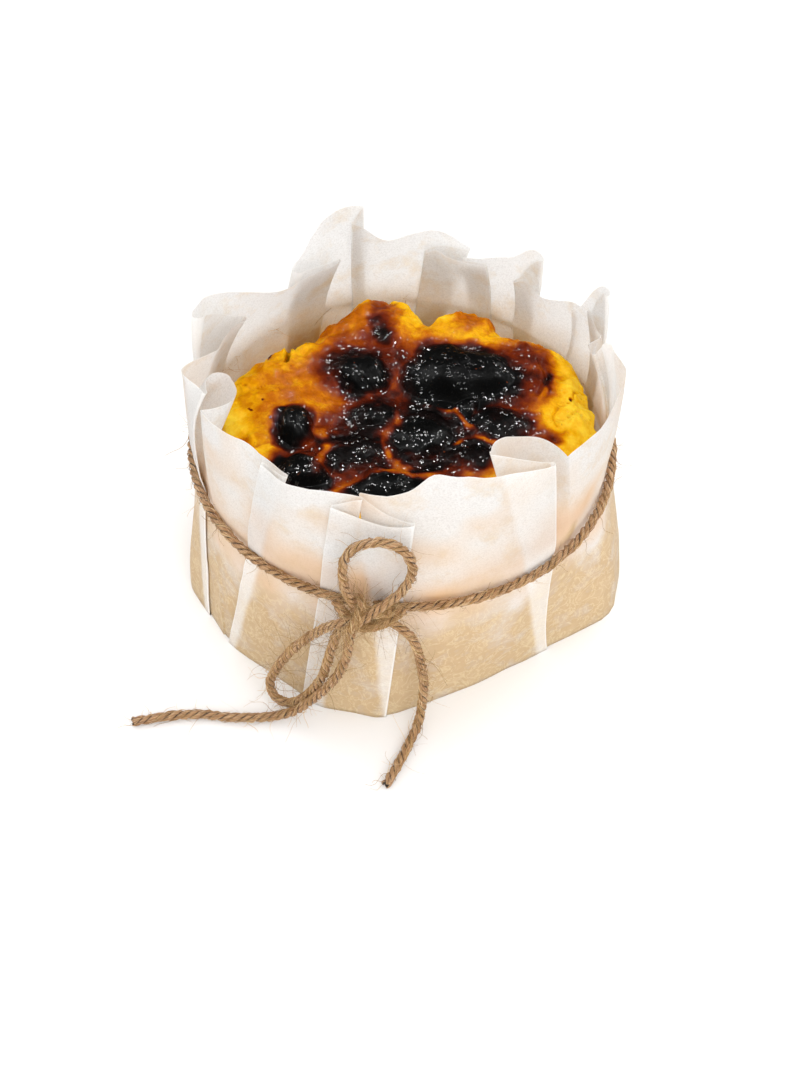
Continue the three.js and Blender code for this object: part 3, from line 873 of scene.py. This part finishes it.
def paper_stains_shade_and_glow(angle, z):
    """How much fat has soaked in, with one patch of painted shade, how much painted glow of the cake's
    yellow the paper gets, and how free the sheet stands. Fat fades out across a wandering edge, and its
    patches are e to the minus fourth power of the distance over their half widths. The glow is painted
    light: a bell round one height, most at the front. The sheet is free above the cake, most at the back."""
    arc = (angle % 360) * WALL_DEGREE
    edge = SOAK_HEIGHT + 7 * value_noise(arc / 16, z / 30, 11) + 4 * value_noise(arc / 6, z / 9, 12)
    soak = fade((z - edge + SOAK_THINS) / SOAK_FADE)
    for centre, height, half_angle, half_height, more in FAT_AND_SHADE_PATCHES:
        away = ((angle % 360 - centre) / half_angle) ** 2 + ((z - height) / half_height) ** 2
        soak = soak + more * np.exp(-(away**2))
    backwards = np.sin(np.radians(angle))
    glow_towards_front = np.clip(0.45 - 0.75 * backwards, 0, 1)
    bell = np.exp(-(((z - CAKE_GLOW_HEIGHT) / CAKE_GLOW_HALF_HEIGHT) ** 2))
    warm = glow_towards_front * (0.66 * bell + 0.4 * value_noise(arc / 11, z / 11, 13))
    free = fade((FREE_HEIGHT - z) / FREE_FADE) * (0.75 + 0.25 * backwards)
    return soak, warm, free


def paper_material():
    """Baking parchment: dense, smooth, silicone-coated paper, white and cool where it is dry, with specks
    of half a millimetre. Where fat has soaked it, it is more see-through, beige-yellow, in patches of 9 mm,
    and its curly fibres show. It passes light, most where it stands free, and dims it a little. Painted
    into its colour are the cake's yellow glowing through it, shade in one hollow, and a highlight along its
    outer creases and rim."""
    material, tree, output = new_material("baking_parchment")
    place = add(tree, "ShaderNodeTexCoord").outputs["Object"]
    inside = add(tree, "ShaderNodeAttribute", attribute_name="inside")
    crease = add(tree, "ShaderNodeAttribute", attribute_name="crease")
    soak = add(tree, "ShaderNodeAttribute", attribute_name="soak")
    warm = add(tree, "ShaderNodeAttribute", attribute_name="warm")
    free = add(tree, "ShaderNodeAttribute", attribute_name="free")
    layered = add(
        tree,
        "ShaderNodeMapRange",
        {"Value": inside.outputs["Fac"], "From Min": -1.0, "From Max": 1.8, "To Min": 1.0, "To Max": 0.35},
        interpolation_type="SMOOTHSTEP",
    )
    # Painted highlight: the colour goes towards white within about half a millimetre of an outer crease or
    # of the rim's cut edge.
    painted_edge_highlight = add(
        tree,
        "ShaderNodeMapRange",
        {"Value": crease.outputs["Fac"], "From Min": 0.1, "From Max": 0.6, "To Min": 0.55, "To Max": 0.0},
        interpolation_type="SMOOTHSTEP",
    )
    patches = add(
        tree, "ShaderNodeTexNoise", {"Vector": place, "Scale": 110.0, "Detail": 5.0, "Roughness": 0.62}
    )
    patchy = add(
        tree,
        "ShaderNodeMapRange",
        {"Value": patches.outputs["Fac"], "From Min": 0.3, "From Max": 0.7, "To Min": -0.4, "To Max": 0.4},
    )
    # Fat, with the painted shade of the hollow by the twine, less where the pleat has three layers.
    soaked = add(
        tree, "ShaderNodeMath", {0: soak.outputs["Fac"], 1: patchy.outputs["Result"]}, operation="ADD"
    )
    soaked = add(
        tree,
        "ShaderNodeMath",
        {0: soaked.outputs[0], 1: layered.outputs["Result"]},
        operation="MULTIPLY",
        use_clamp=True,
    )
    # Painted light: the cake's yellow glowing through the paper, less where the pleat has three layers.
    warmed = add(
        tree,
        "ShaderNodeMath",
        {0: warm.outputs["Fac"], 1: layered.outputs["Result"]},
        operation="MULTIPLY",
        use_clamp=True,
    )
    curls = add(
        tree,
        "ShaderNodeTexNoise",
        {"Vector": place, "Scale": 150.0, "Detail": 3.0, "Roughness": 0.6, "Distortion": 2.2},
    )
    line = add(tree, "ShaderNodeMath", {0: curls.outputs["Fac"], 1: 0.5}, operation="SUBTRACT")
    line = add(tree, "ShaderNodeMath", {0: line.outputs[0]}, operation="ABSOLUTE")
    line = add(
        tree,
        "ShaderNodeMapRange",
        {"Value": line.outputs[0], "From Min": 0.0, "From Max": 0.045, "To Min": 0.6, "To Max": 0.0},
    )
    specks = add(
        tree, "ShaderNodeTexNoise", {"Vector": place, "Scale": 1900.0, "Detail": 2.0, "Roughness": 0.7}
    )
    dry = add(
        tree,
        "ShaderNodeValToRGB",
        {"Fac": specks.outputs["Fac"]},
        stops=[(0.3, "#e2e0de"), (0.5, "#eeedeb"), (0.7, "#f5f4f3")],
    )
    # The painted glow's colour over the dry paper.
    painted_glow_colour = add(
        tree,
        "ShaderNodeMix",
        {0: warmed.outputs[0], 6: dry.outputs["Color"], 7: linear("#ebc79c")},
        data_type="RGBA",
    )
    stain = add(
        tree,
        "ShaderNodeMix",
        {0: patches.outputs["Fac"], 6: linear("#bf9861"), 7: linear("#e9d2ad")},
        data_type="RGBA",
    )
    fatty = add(
        tree,
        "ShaderNodeMix",
        {0: line.outputs["Result"], 6: stain.outputs[2], 7: linear("#efddb4")},
        data_type="RGBA",
    )
    colour = add(
        tree,
        "ShaderNodeMix",
        {0: soaked.outputs[0], 6: painted_glow_colour.outputs[2], 7: fatty.outputs[2]},
        data_type="RGBA",
    )
    # The painted edge highlight goes over all the rest.
    colour = add(
        tree,
        "ShaderNodeMix",
        {0: painted_edge_highlight.outputs["Result"], 6: colour.outputs[2], 7: linear("#fdfcfa")},
        data_type="RGBA",
    )
    bump = add(
        tree, "ShaderNodeBump", {"Height": patches.outputs["Fac"], "Strength": 0.2, "Distance": 0.001}
    )
    face = add(
        tree,
        "ShaderNodeBsdfPrincipled",
        {
            "Base Color": colour.outputs[2],
            "Roughness": 0.5,
            "Specular IOR Level": 0.35,
            "Normal": bump.outputs["Normal"],
        },
    )
    dimmed = add(
        tree, "ShaderNodeVectorMath", {0: colour.outputs[2], "Scale": 0.97}, operation="SCALE"
    )
    through = add(
        tree,
        "ShaderNodeBsdfTranslucent",
        {"Color": dimmed.outputs["Vector"], "Normal": bump.outputs["Normal"]},
    )
    share = add(
        tree,
        "ShaderNodeMapRange",
        {
            "Value": layered.outputs["Result"],
            "From Min": 0.35,
            "From Max": 1.0,
            "To Min": 0.1,
            "To Max": 0.22,
        },
    )
    share = add(
        tree,
        "ShaderNodeMath",
        {0: free.outputs["Fac"], 1: 0.48, 2: share.outputs["Result"]},
        operation="MULTIPLY_ADD",
    )
    both = add(
        tree, "ShaderNodeMixShader", {0: share.outputs[0], 1: face.outputs[0], 2: through.outputs[0]}
    )
    tree.links.new(both.outputs[0], output.inputs["Surface"])
    return material


sheet_points, sheet_inside, sheet_crease, sheet_angle = paper_sheet()
rows, columns = sheet_points.shape[:2]
soak, warm, free = paper_stains_shade_and_glow(sheet_angle, sheet_points[..., 2])
floor_fan = fan(np.arange(columns), rows * columns, turned=True)
parchment = surface(
    "parchment_case",
    np.vstack([sheet_points.reshape(-1, 3), [[0, 0, 0]]]),
    np.vstack([triangles(grid_faces(rows, columns)), floor_fan]),
    paper_material(),
    inside=np.append(sheet_inside.ravel(), 0),
    crease=np.append(sheet_crease.ravel(), FAR),
    soak=np.append(soak.ravel(), 1),
    warm=np.append(warm.ravel(), 0),
    free=np.append(free.ravel(), 0),
)
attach(parchment, "root")
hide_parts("parchment")

# ---- Cheesecake ----
# Cream-cheese custard baked very hot: a soft yellow edge, sugar that ran and caramelised over the
# middle, and thin black blisters where it burnt. It sank a little and shrank from the paper.

CAKE_TOP = 69.5
CAKE_SINK = 3
CAKE_SHOULDER = 6
CAKE_PAPER_CLEARANCE = 2.4
SINK_REACH = 0.85
SHOULDER_SHARPNESS = 16
EDGE_ROUNDING = 1.2
CRUMB_CIRCLE = 50
BEAD_COUNT = 420
BEAD_FIELD = (2, -3, 38, 30)
BEAD_SIZES = (0.7, 1.5)
BEAD_HEIGHT = 0.22
AMBER_RISE = 0.35
AMBER_END_DEGREES = 14

# How burnt it is, on a scale where 0 is custard and about 1 is charcoal: where sugar and where black skin
# start, clear amber, scorched flecks, the hidden sides, and the most there is.
SUGAR_STARTS = 0.3
BLACK_STARTS = 0.75
AMBER_BURN = 0.2
SCORCH_BURN = 0.7
SIDE_BURN = 0.06
MOST_BURNT = 1.15

# The top's outline: angle and radius, leaning to the right, with the notches where it tore.
CAKE_OUTLINE = [
    (0, 57.6),
    (14, 56.6),
    (31, 55.6),
    (37, 52.4),
    (44, 50.4),
    (47, 47.6),
    (52, 48.8),
    (58, 51.8),
    (64, 51.2),
    (70, 48),
    (74, 44.2),
    (77, 39.6),
    (80, 39.8),
    (83, 42.4),
    (86.5, 46.6),
    (88.5, 50.4),
    (92, 51.2),
    (96, 50.2),
    (101, 51.4),
    (108, 49.4),
    (115.5, 47),
    (123, 45.8),
    (129, 43.6),
    (136, 43.4),
    (141.5, 43),
    (142.5, 45),
    (143.6, 49.4),
    (145, 48.6),
    (147.5, 49.6),
    (150, 49),
    (154, 51.2),
    (160, 53.8),
    (200, 54),
    (240, 55),
    (290, 56),
    (335, 57.8),
]

# Each blister: centre, two half widths, height and how full its dome is, where less is fuller.
BLISTERS = [
    (17, 15.5, 17, 12, 4.2, 1.1),
    (-12, 17, 9, 8.6, 3, 1.3),
    (-31.6, -6.4, 6.2, 8, 4.3, 0.75),
    (-28.6, -24, 8.5, 7.5, 3.6, 1.0),
    (-4, -30, 12, 7, 3, 1.0),
    (5, -8.6, 10, 10.5, 3.2, 1.0),
    (18.6, 1.6, 4, 4, 2.2, 0.8),
    (29.5, -3.4, 9.5, 7, 1.7, 1.1),
    (-16, -16, 9.5, 8, 1.6, 1.1),
    (-9.5, 0.5, 9.5, 5.5, 1.4, 1.2),
    (20.8, -17.6, 6.5, 5.5, 1.5, 1.1),
    (-5.5, 31, 4.5, 4.5, 1.6, 1.2),
]

# How far the sugar went here: centre, two half widths, turn, how burnt at the middle, and how soft its
# edge is. First the amber haze, then red-brown caramel, dark caramel, and the black skins.
BURNS = [
    (0, 0, 41, 37, 0, 0.24, 0.45),
    (-33, 4, 15, 22, 10, 0.23, 0.7),
    (-16, 38, 15, 8, 18, 0.27, 0.6),
    (22, 40, 8, 8, 0, 0.24, 0.7),
    (2, -9, 27, 22, 0, 0.76, 0.5),
    (-11, 20, 19, 14, 15, 0.54, 0.6),
    (35, 15, 12, 16, -10, 0.54, 0.6),
    (-6, 34, 6, 9, 0, 0.58, 0.7),
    (-7, 44, 3.4, 6, 0, 0.46, 0.8),
    (-27, -22, 13, 11, 0, 0.56, 0.5),
    (20, 25.5, 13, 4, -4, 0.64, 0.4),
    (8, -8, 22, 16, 0, 0.82, 0.7),
    (-16, -15, 13, 11, 0, 0.8, 0.6),
    (-9, -1, 13, 8, 12, 0.78, 0.6),
    (29, -5, 12, 8, -12, 0.86, 0.6),
    (21, -17, 9, 6, 0, 0.84, 0.7),
    (32, 15, 10, 13, 0, 0.7, 0.8),
    (-5, 32, 5, 5, 0, 0.78, 0.8),
    (-15, 20, 13, 10, 15, 0.78, 0.8),
    (43, 12, 3, 7, -20, 0.66, 0.8),
    (43, -9, 5, 3.5, 0, 0.5, 0.8),
    (18, 14, 18, 13.5, -6, 1.3, 0.55),
    (17, 5, 8, 6, -30, 1.0, 0.5),
    (-12.5, 16, 9, 8.4, 15, 1.12, 0.8),
    (-31.6, -7, 6.2, 9, 0, 1.1, 0.6),
    (-29, -25.5, 9.5, 7.5, -20, 1.1, 0.5),
    (-3, -31.5, 13.5, 7, 4, 1.1, 0.45),
    (4.5, -9, 9.5, 9.5, 20, 1.05, 0.6),
    (18.5, 1, 4.5, 4.6, 0, 1.1, 0.5),
    (28, -4, 8, 5.4, -12, 0.9, 0.6),
    (-7, 0, 8, 5, 12, 0.88, 0.6),
    (-15, -17, 8, 7, 0, 0.9, 0.7),
    (21, -16, 5.4, 4.2, 0, 0.88, 0.7),
]

# Clear amber sugar that ran between the blisters: parts of ovals, as centre, half widths, first and last
# angle, and half width across.
AMBER_LINES = [
    (5, -11, 10.8, 13, 112, 262, 2.4),
    (6, -14, 17, 17, 8, 80, 1.7),
    (21, -19, 9.5, 7.5, 45, 145, 1.5),
    (6, -20, 15, 5, 215, 340, 2.3),
    (-36, -12, 13.5, 20, 312, 385, 2.4),
    (34, 12, 8, 14, 318, 400, 1.6),
]

# Flecks of crust scorched at the edge: place and radius.
SCORCHES = [
    (-41.5, 25, 1.1),
    (12.5, 42.5, 1.6),
    (-46, 1, 0.6),
    (-43, 6, 0.5),
    (-39, -3, 0.5),
    (52, 6, 0.6),
]

# The one patch of black skin that shrivelled: centre, two half widths and turn.
CREASED_SKIN = (17, 18.5, 12, 5.5, -12)

# Where the edge tore: from, to, half width and depth.
TEARS = [
    (-35.2, 21, -34.6, 30, 1.1, 7),
    (45, -3.5, 50, -2.2, 0.9, 0.9),
    (50, -2.2, 52.6, 0.6, 0.9, 1.1),
    (52.6, 0.6, 55.6, -2.6, 0.9, 1.0),
    (46.5, 4.5, 56, 5.5, 0.8, 0.6),
    (41, 6, 44, 14, 1.0, 0.7),
    (44, 14, 41.5, 21, 1.0, 0.7),
    (47, 12, 52.6, 17.5, 0.9, 0.7),
    (33, 30, 37, 38, 1.0, 0.7),
]

# The mesh of the top. Below a power of one, its rings stand closer together towards the edge.
CAKE_SECTORS = 456
CAKE_RINGS = 204
RING_POWER = 0.8
# Below the top: height, and how far the side has gone from the top's outline to the paper.
CAKE_SIDE = [(60, 0), (50, 0.05), (42, 0.8), (27, 1), (0.8, 1)]


def layered_noise(x, y, *layers):
    """The sum of some noises, each given by its height, the width of its lumps and its seed."""
    return sum(height * value_noise(x / width, y / width, seed) for height, width, seed in layers)


def cake_edge(angle):
    """The top's outline: straight runs between its points, rounded by a mean over a few degrees, and a
    crumbly edge from noise taken round a circle."""
    corners = np.array(CAKE_OUTLINE)
    turns = EDGE_ROUNDING * np.linspace(-1, 1, 5)
    rounded = [np.interp(angle + turn, corners[:, 0], corners[:, 1], period=360) for turn in turns]
    crumbs = layered_noise(*flat_place(angle, CRUMB_CIRCLE), (0.9, 4.5, 51), (0.7, 1.9, 52))
    return sum(rounded) / len(turns) + crumbs


def ellipse_away(x, y, cx, cy, half_x, half_y, turn):
    """How far out a point is in a turned ellipse: 0 at its centre and 1 on its outline."""
    c, q = math.cos(math.radians(turn)), math.sin(math.radians(turn))
    along, across = (x - cx) * c + (y - cy) * q, (y - cy) * c - (x - cx) * q
    return np.hypot(along / half_x, across / half_y)


def segment_away(x, y, ax, ay, bx, by):
    """How far a point is from a straight piece from a to b: its distance to the nearest point of it."""
    along = ((x - ax) * (bx - ax) + (y - ay) * (by - ay)) / ((bx - ax) ** 2 + (by - ay) ** 2)
    along = np.clip(along, 0, 1)
    return np.hypot(x - mix(ax, bx, along), y - mix(ay, by, along))


def amber(x, y):
    """1 on the clear amber lines and 0 away from them, by the distance to each oval over its width. Each
    line fades out at both ends."""
    most = np.zeros_like(x)
    for cx, cy, half_x, half_y, first, last, width in AMBER_LINES:
        away = np.abs(np.hypot((x - cx) / half_x, (y - cy) / half_y) - 1) * min(half_x, half_y)
        bearing = (np.degrees(np.arctan2((y - cy) / half_y, (x - cx) / half_x)) - first) % 360
        span = last - first
        near, far = bearing / AMBER_END_DEGREES, (span - bearing) / AMBER_END_DEGREES
        ends = fade(1 - near) * fade(1 - far) * (bearing < span)
        most = np.maximum(most, fade(away / width - 0.2) * ends)
    return most


def burnt(x, y):
    """How burnt it is: the largest of soft ellipses over a ground warped by noise, mottled where there is
    sugar, clear along the amber lines, and scorched at the flecks."""
    wx = x + layered_noise(x, y, (2, 7, 21), (0.9, 2.6, 22))
    wy = y + layered_noise(x, y, (2, 7, 23), (0.9, 2.6, 24))
    most = 0.05 + 0.05 * value_noise(x / 9, y / 9, 27)
    for cx, cy, half_x, half_y, turn, strength, softness in BURNS:
        away = ellipse_away(wx, wy, cx, cy, half_x, half_y, turn)
        most = np.maximum(most, strength * fade((away - 1 + softness) / (2 * softness)))
    sugar = np.clip(3 * (most - SUGAR_STARTS), 0, 1)
    mottled = most + sugar * layered_noise(x, y, (0.1, 3.5, 25), (0.05, 1.4, 26))
    clear = np.clip(0.6 + 0.7 * value_noise(x / 4, y / 4, 28), 0, 0.85)
    mottled = mix(mottled, AMBER_BURN, clear * amber(wx, wy))
    for cx, cy, radius in SCORCHES:
        mottled = np.maximum(mottled, SCORCH_BURN * fade(np.hypot(wx - cx, wy - cy) / radius - 0.3))
    return np.clip(mottled, 0, MOST_BURNT)


def beads(x, y):
    """Small beads of boiled sugar: low domes of random place and size, each h * (1 - d^2), where a slow
    noise lets them gather."""
    rng = np.random.default_rng(41)
    height = np.zeros_like(x)
    gather = np.clip(0.55 + 1.6 * value_noise(x / 6, y / 6, 42), 0, 1)
    middle_x, middle_y, half_x, half_y = BEAD_FIELD
    for _ in range(BEAD_COUNT):
        angle, out, size = rng.uniform(0, 2 * np.pi), math.sqrt(rng.uniform()), rng.uniform(*BEAD_SIZES)
        cx = middle_x + half_x * out * math.cos(angle)
        cy = middle_y + half_y * out * math.sin(angle)
        away = ((x - cx) ** 2 + (y - cy) ** 2) / size**2
        height = np.maximum(height, BEAD_HEIGHT * size * np.clip(1 - away, 0, 1))
    return height * gather


def cake_top(angle, share):
    """The crust's points: the sunken top with a broken shoulder, plus domed blisters, wrinkled black skin,
    beads of sugar, and curds and cracks in the custard."""
    x, y = flat_place(angle, share * cake_edge(angle))
    wx = x + layered_noise(x, y, (1.8, 6.5, 35), (0.12, 2.4, 36))
    wy = y + layered_noise(x, y, (1.8, 6.5, 37), (0.12, 2.4, 38))
    domes = np.zeros_like(x)
    for cx, cy, half_x, half_y, height, fullness in BLISTERS:
        away = ((wx - cx) / half_x) ** 2 + ((wy - cy) / half_y) ** 2
        domes = np.maximum(domes, height * np.clip(1 - away, 0, 1) ** fullness)
    burn = burnt(x, y)
    sugar = np.clip(4 * (burn - SUGAR_STARTS), 0, 1)
    black = np.clip(4 * (burn - BLACK_STARTS), 0, 1)
    custard = 1 - sugar
    lumps = (1 - 0.6 * black) * layered_noise(x, y, (0.9, 9, 31), (0.5, 4.2, 32))
    creases = (1 - np.abs(value_noise(wx / 7, wy / 2.6, 33))) ** 6 + 0.3 * value_noise(x / 2.2, y / 1.4, 34)
    ridges = fade(ellipse_away(x, y, *CREASED_SKIN)) * creases
    runs = sugar * (1 - black) * layered_noise(x, y, (0.24, 2.4, 39), (0.1, 1.1, 40))
    edge = custard * np.clip((share - 0.6) / 0.3, 0, 1)
    curds = edge * layered_noise(x, y, (1, 3.4, 43), (0.5, 1.5, 44))
    pores = custard * layered_noise(x, y, (0.22, 2.1, 45), (0.1, 0.9, 46))
    lines = np.exp(-((value_noise(wx / 8, wy / 8, 47) / 0.05) ** 2))
    cracks = edge * lines * np.clip(2 * value_noise(x / 13, y / 13, 48), 0, 1)
    relief = lumps + ridges + runs + curds + pores - 0.9 * cracks
    for ax, ay, bx, by, half_width, deep in TEARS:
        relief = relief - deep * fade(segment_away(x, y, ax, ay, bx, by) / half_width)
    relief = relief + sugar * (1 - 0.5 * black) * beads(x, y) + AMBER_RISE * amber(x, y)
    sink = CAKE_SINK * fade(share / SINK_REACH)
    z = CAKE_TOP - sink + relief + domes - CAKE_SHOULDER * share**SHOULDER_SHARPNESS
    return np.stack([x, y, z], axis=-1), np.clip(burn + 0.12 * cracks, 0, MOST_BURNT)


def cake_material():
    """Baked custard under burnt sugar: moist yellow custard that lets light in a little way, then amber,
    red-brown and black caramel under a wet film full of bubbles, 1.6 mm apart. Only the film glints, on the
    bubbles' slopes and least on charred skin. The custard is mottled by the 4.5 mm, with 2 mm flecks."""
    material, tree, output = new_material("burnt_custard")
    place = add(tree, "ShaderNodeTexCoord").outputs["Object"]
    burn = add(tree, "ShaderNodeAttribute", attribute_name="burn")
    mottle = add(
        tree, "ShaderNodeTexNoise", {"Vector": place, "Scale": 220.0, "Detail": 5.0, "Roughness": 0.65}
    )
    uneven = add(
        tree,
        "ShaderNodeMapRange",
        {"Value": mottle.outputs["Fac"], "From Min": 0.25, "From Max": 0.75, "To Min": -0.1, "To Max": 0.1},
    )
    done = add(
        tree,
        "ShaderNodeMath",
        {0: burn.outputs["Fac"], 1: uneven.outputs["Result"]},
        operation="ADD",
        use_clamp=True,
    )
    hue = add(
        tree,
        "ShaderNodeValToRGB",
        {"Fac": done.outputs[0]},
        stops=[
            (0.0, "#fbd038"),
            (0.1, "#eeaf0c"),
            (0.22, "#c06a00"),
            (0.34, "#934003"),
            (0.46, "#671f03"),
            (0.6, "#380e05"),
            (0.76, "#130807"),
            (0.95, "#070707"),
        ],
    )
    flecks = add(tree, "ShaderNodeTexNoise", {"Vector": place, "Scale": 520.0, "Detail": 1.0})
    fleck = add(
        tree,
        "ShaderNodeMapRange",
        {"Value": flecks.outputs["Fac"], "From Min": 0.74, "From Max": 0.8, "To Min": 0.0, "To Max": 0.6},
    )
    flecked = add(
        tree,
        "ShaderNodeMix",
        {0: fleck.outputs["Result"], 6: hue.outputs["Color"], 7: linear("#6a2c08")},
        data_type="RGBA",
    )
    bubbles = add(
        tree,
        "ShaderNodeTexVoronoi",
        {"Vector": place, "Scale": 640.0, "Randomness": 1.0},
        feature="F1",
    )
    domed = add(
        tree,
        "ShaderNodeMapRange",
        {
            "Value": bubbles.outputs["Distance"],
            "From Min": 0.0,
            "From Max": 0.5,
            "To Min": 1.0,
            "To Max": 0.0,
        },
        interpolation_type="SMOOTHSTEP",
    )
    spread = add(tree, "ShaderNodeTexNoise", {"Vector": place, "Scale": 130.0, "Detail": 2.0})
    gather = add(
        tree,
        "ShaderNodeMapRange",
        {"Value": spread.outputs["Fac"], "From Min": 0.4, "From Max": 0.56, "To Min": 0.08, "To Max": 1.0},
    )
    film = add(
        tree,
        "ShaderNodeMapRange",
        {"Value": done.outputs[0], "From Min": 0.15, "From Max": 0.45, "To Min": 0.1, "To Max": 1.0},
    )
    bubbly = add(
        tree,
        "ShaderNodeMath",
        {0: gather.outputs["Result"], 1: film.outputs["Result"]},
        operation="MULTIPLY",
    )
    charred = add(
        tree,
        "ShaderNodeMapRange",
        {
            "Value": burn.outputs["Fac"],
            "From Min": 1.08,
            "From Max": MOST_BURNT,
            "To Min": 1.0,
            "To Max": 0.3,
        },
    )
    crown = add(
        tree,
        "ShaderNodeMapRange",
        {"Value": domed.outputs["Result"], "From Min": 0.0, "From Max": 0.14, "To Min": 0.0, "To Max": 1.0},
    )
    wet = add(
        tree,
        "ShaderNodeMath",
        {0: charred.outputs["Result"], 1: crown.outputs["Result"]},
        operation="MULTIPLY",
    )
    wet = add(tree, "ShaderNodeMath", {0: wet.outputs[0], 1: bubbly.outputs[0]}, operation="MULTIPLY")
    curd = add(
        tree,
        "ShaderNodeMapRange",
        {"Value": done.outputs[0], "From Min": 0.15, "From Max": 0.4, "To Min": 0.65, "To Max": 0.1},
    )
    grainy = add(
        tree,
        "ShaderNodeBump",
        {"Height": mottle.outputs["Fac"], "Strength": curd.outputs["Result"], "Distance": 0.0016},
    )
    bump = add(
        tree,
        "ShaderNodeBump",
        {
            "Height": domed.outputs["Result"],
            "Strength": bubbly.outputs[0],
            "Distance": 0.00034,
            "Normal": grainy.outputs["Normal"],
        },
    )
    soft = add(
        tree,
        "ShaderNodeMapRange",
        {"Value": done.outputs[0], "From Min": 0.0, "From Max": 0.45, "To Min": 0.35, "To Max": 0.0},
    )
    shader = add(
        tree,
        "ShaderNodeBsdfPrincipled",
        {
            "Base Color": flecked.outputs[2],
            "Roughness": 0.4,
            "IOR": 1.45,
            "Specular IOR Level": 0.012,
            "Coat Weight": wet.outputs[0],
            "Coat IOR": 1.33,
            "Coat Roughness": 0.03,
            "Coat Normal": bump.outputs["Normal"],
            "Subsurface Weight": soft.outputs["Result"],
            "Subsurface Radius": (1.0, 0.6, 0.2),
            "Subsurface Scale": 0.003,
            "Normal": grainy.outputs["Normal"],
        },
    )
    tree.links.new(shader.outputs[0], output.inputs["Surface"])
    return material


angles = np.linspace(0, 360, CAKE_SECTORS, endpoint=False)[None]
shares = (np.arange(1, CAKE_RINGS + 1) / CAKE_RINGS)[:, None] ** RING_POWER
top_points, top_burn = cake_top(angles, shares)
middle_point, middle_burn = cake_top(np.zeros(1), np.zeros(1))
rings = [top_points.reshape(-1, 3)]
for z, leaning in CAKE_SIDE:
    wall = wall_radius(angles[0], z / WAIST_HEIGHT / 2) - CAKE_PAPER_CLEARANCE
    x, y = flat_place(angles[0], mix(cake_edge(angles[0]), wall, leaning))
    rings.append(np.stack([x, y, np.full_like(x, z)], axis=-1))
ring_count = CAKE_RINGS + len(CAKE_SIDE)
hub = ring_count * CAKE_SECTORS
first_ring = np.arange(CAKE_SECTORS)
last_ring = first_ring + hub - CAKE_SECTORS
cake_verts = np.vstack([*rings, middle_point, [[0, 0, CAKE_SIDE[-1][0]]]])
cake_faces = np.vstack(
    [
        triangles(grid_faces(ring_count, CAKE_SECTORS)[:, ::-1]),
        fan(first_ring, hub),
        fan(last_ring, hub + 1, turned=True),
    ]
)
side_burn = np.full(len(CAKE_SIDE) * CAKE_SECTORS, SIDE_BURN)
cake_burn = np.concatenate([top_burn.ravel(), side_burn, middle_burn, [0]])
cake = surface("basque_cheesecake", cake_verts, cake_faces, cake_material(), burn=cake_burn)
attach(cake, "root")
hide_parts("cheesecake")

# ---- Floor and light ----
# A plain pale floor in a white room. The room lights everything but is kept out of reflections, so that
# burnt sugar stays black. Three small lamps round the cake are only mirrored: they make the glints. A
# broad lamp lights the front and isn't mirrored.

ROOM_STRENGTH = 1.11
FLOOR_HALF_WIDTH = 3000
GLINT_SIZE = 0.16
GLINT_POWER = 32


def floor_material():
    """Matt white vinyl, which gives nothing back but a soft shadow."""
    material, tree, output = new_material("white_floor")
    shader = add(tree, "ShaderNodeBsdfPrincipled", {"Base Color": (0.93, 0.93, 0.93, 1), "Roughness": 0.9})
    tree.links.new(shader.outputs[0], output.inputs["Surface"])
    return material


floor = surface(
    "floor",
    FLOOR_HALF_WIDTH * np.array([(-1, -1, 0), (1, -1, 0), (1, 1, 0), (-1, 1, 0)]),
    [(0, 1, 2, 3)],
    floor_material(),
)

for name, place, size, power, is_glint in (
    ("glint_left", (-0.62, 0.52, 0.95), GLINT_SIZE, GLINT_POWER, True),
    ("glint_top", (0.05, 0.12, 1.3), GLINT_SIZE, GLINT_POWER, True),
    ("glint_right", (0.62, 0.58, 0.9), GLINT_SIZE, GLINT_POWER, True),
    ("light_front", (0.2, -0.9, 0.9), 0.9, 6, False),
):
    data = bpy.data.lights.new(name, "AREA")
    data.size, data.energy = size, power
    lamp = bpy.data.objects.new(name, data)
    lamp.location = place
    lamp.rotation_euler = (-Vector(place)).to_track_quat("-Z", "Y").to_euler()
    lamp.visible_diffuse, lamp.visible_glossy = not is_glint, is_glint
    bpy.context.scene.collection.objects.link(lamp)

world = bpy.data.worlds.new("studio")
world.use_nodes = True
background = world.node_tree.nodes["Background"]
background.inputs["Color"].default_value = (1, 1, 1, 1)
background.inputs["Strength"].default_value = ROOM_STRENGTH
bpy.context.scene.world = world
world.cycles_visibility.glossy = False
bpy.context.scene.view_settings.view_transform = "Standard"
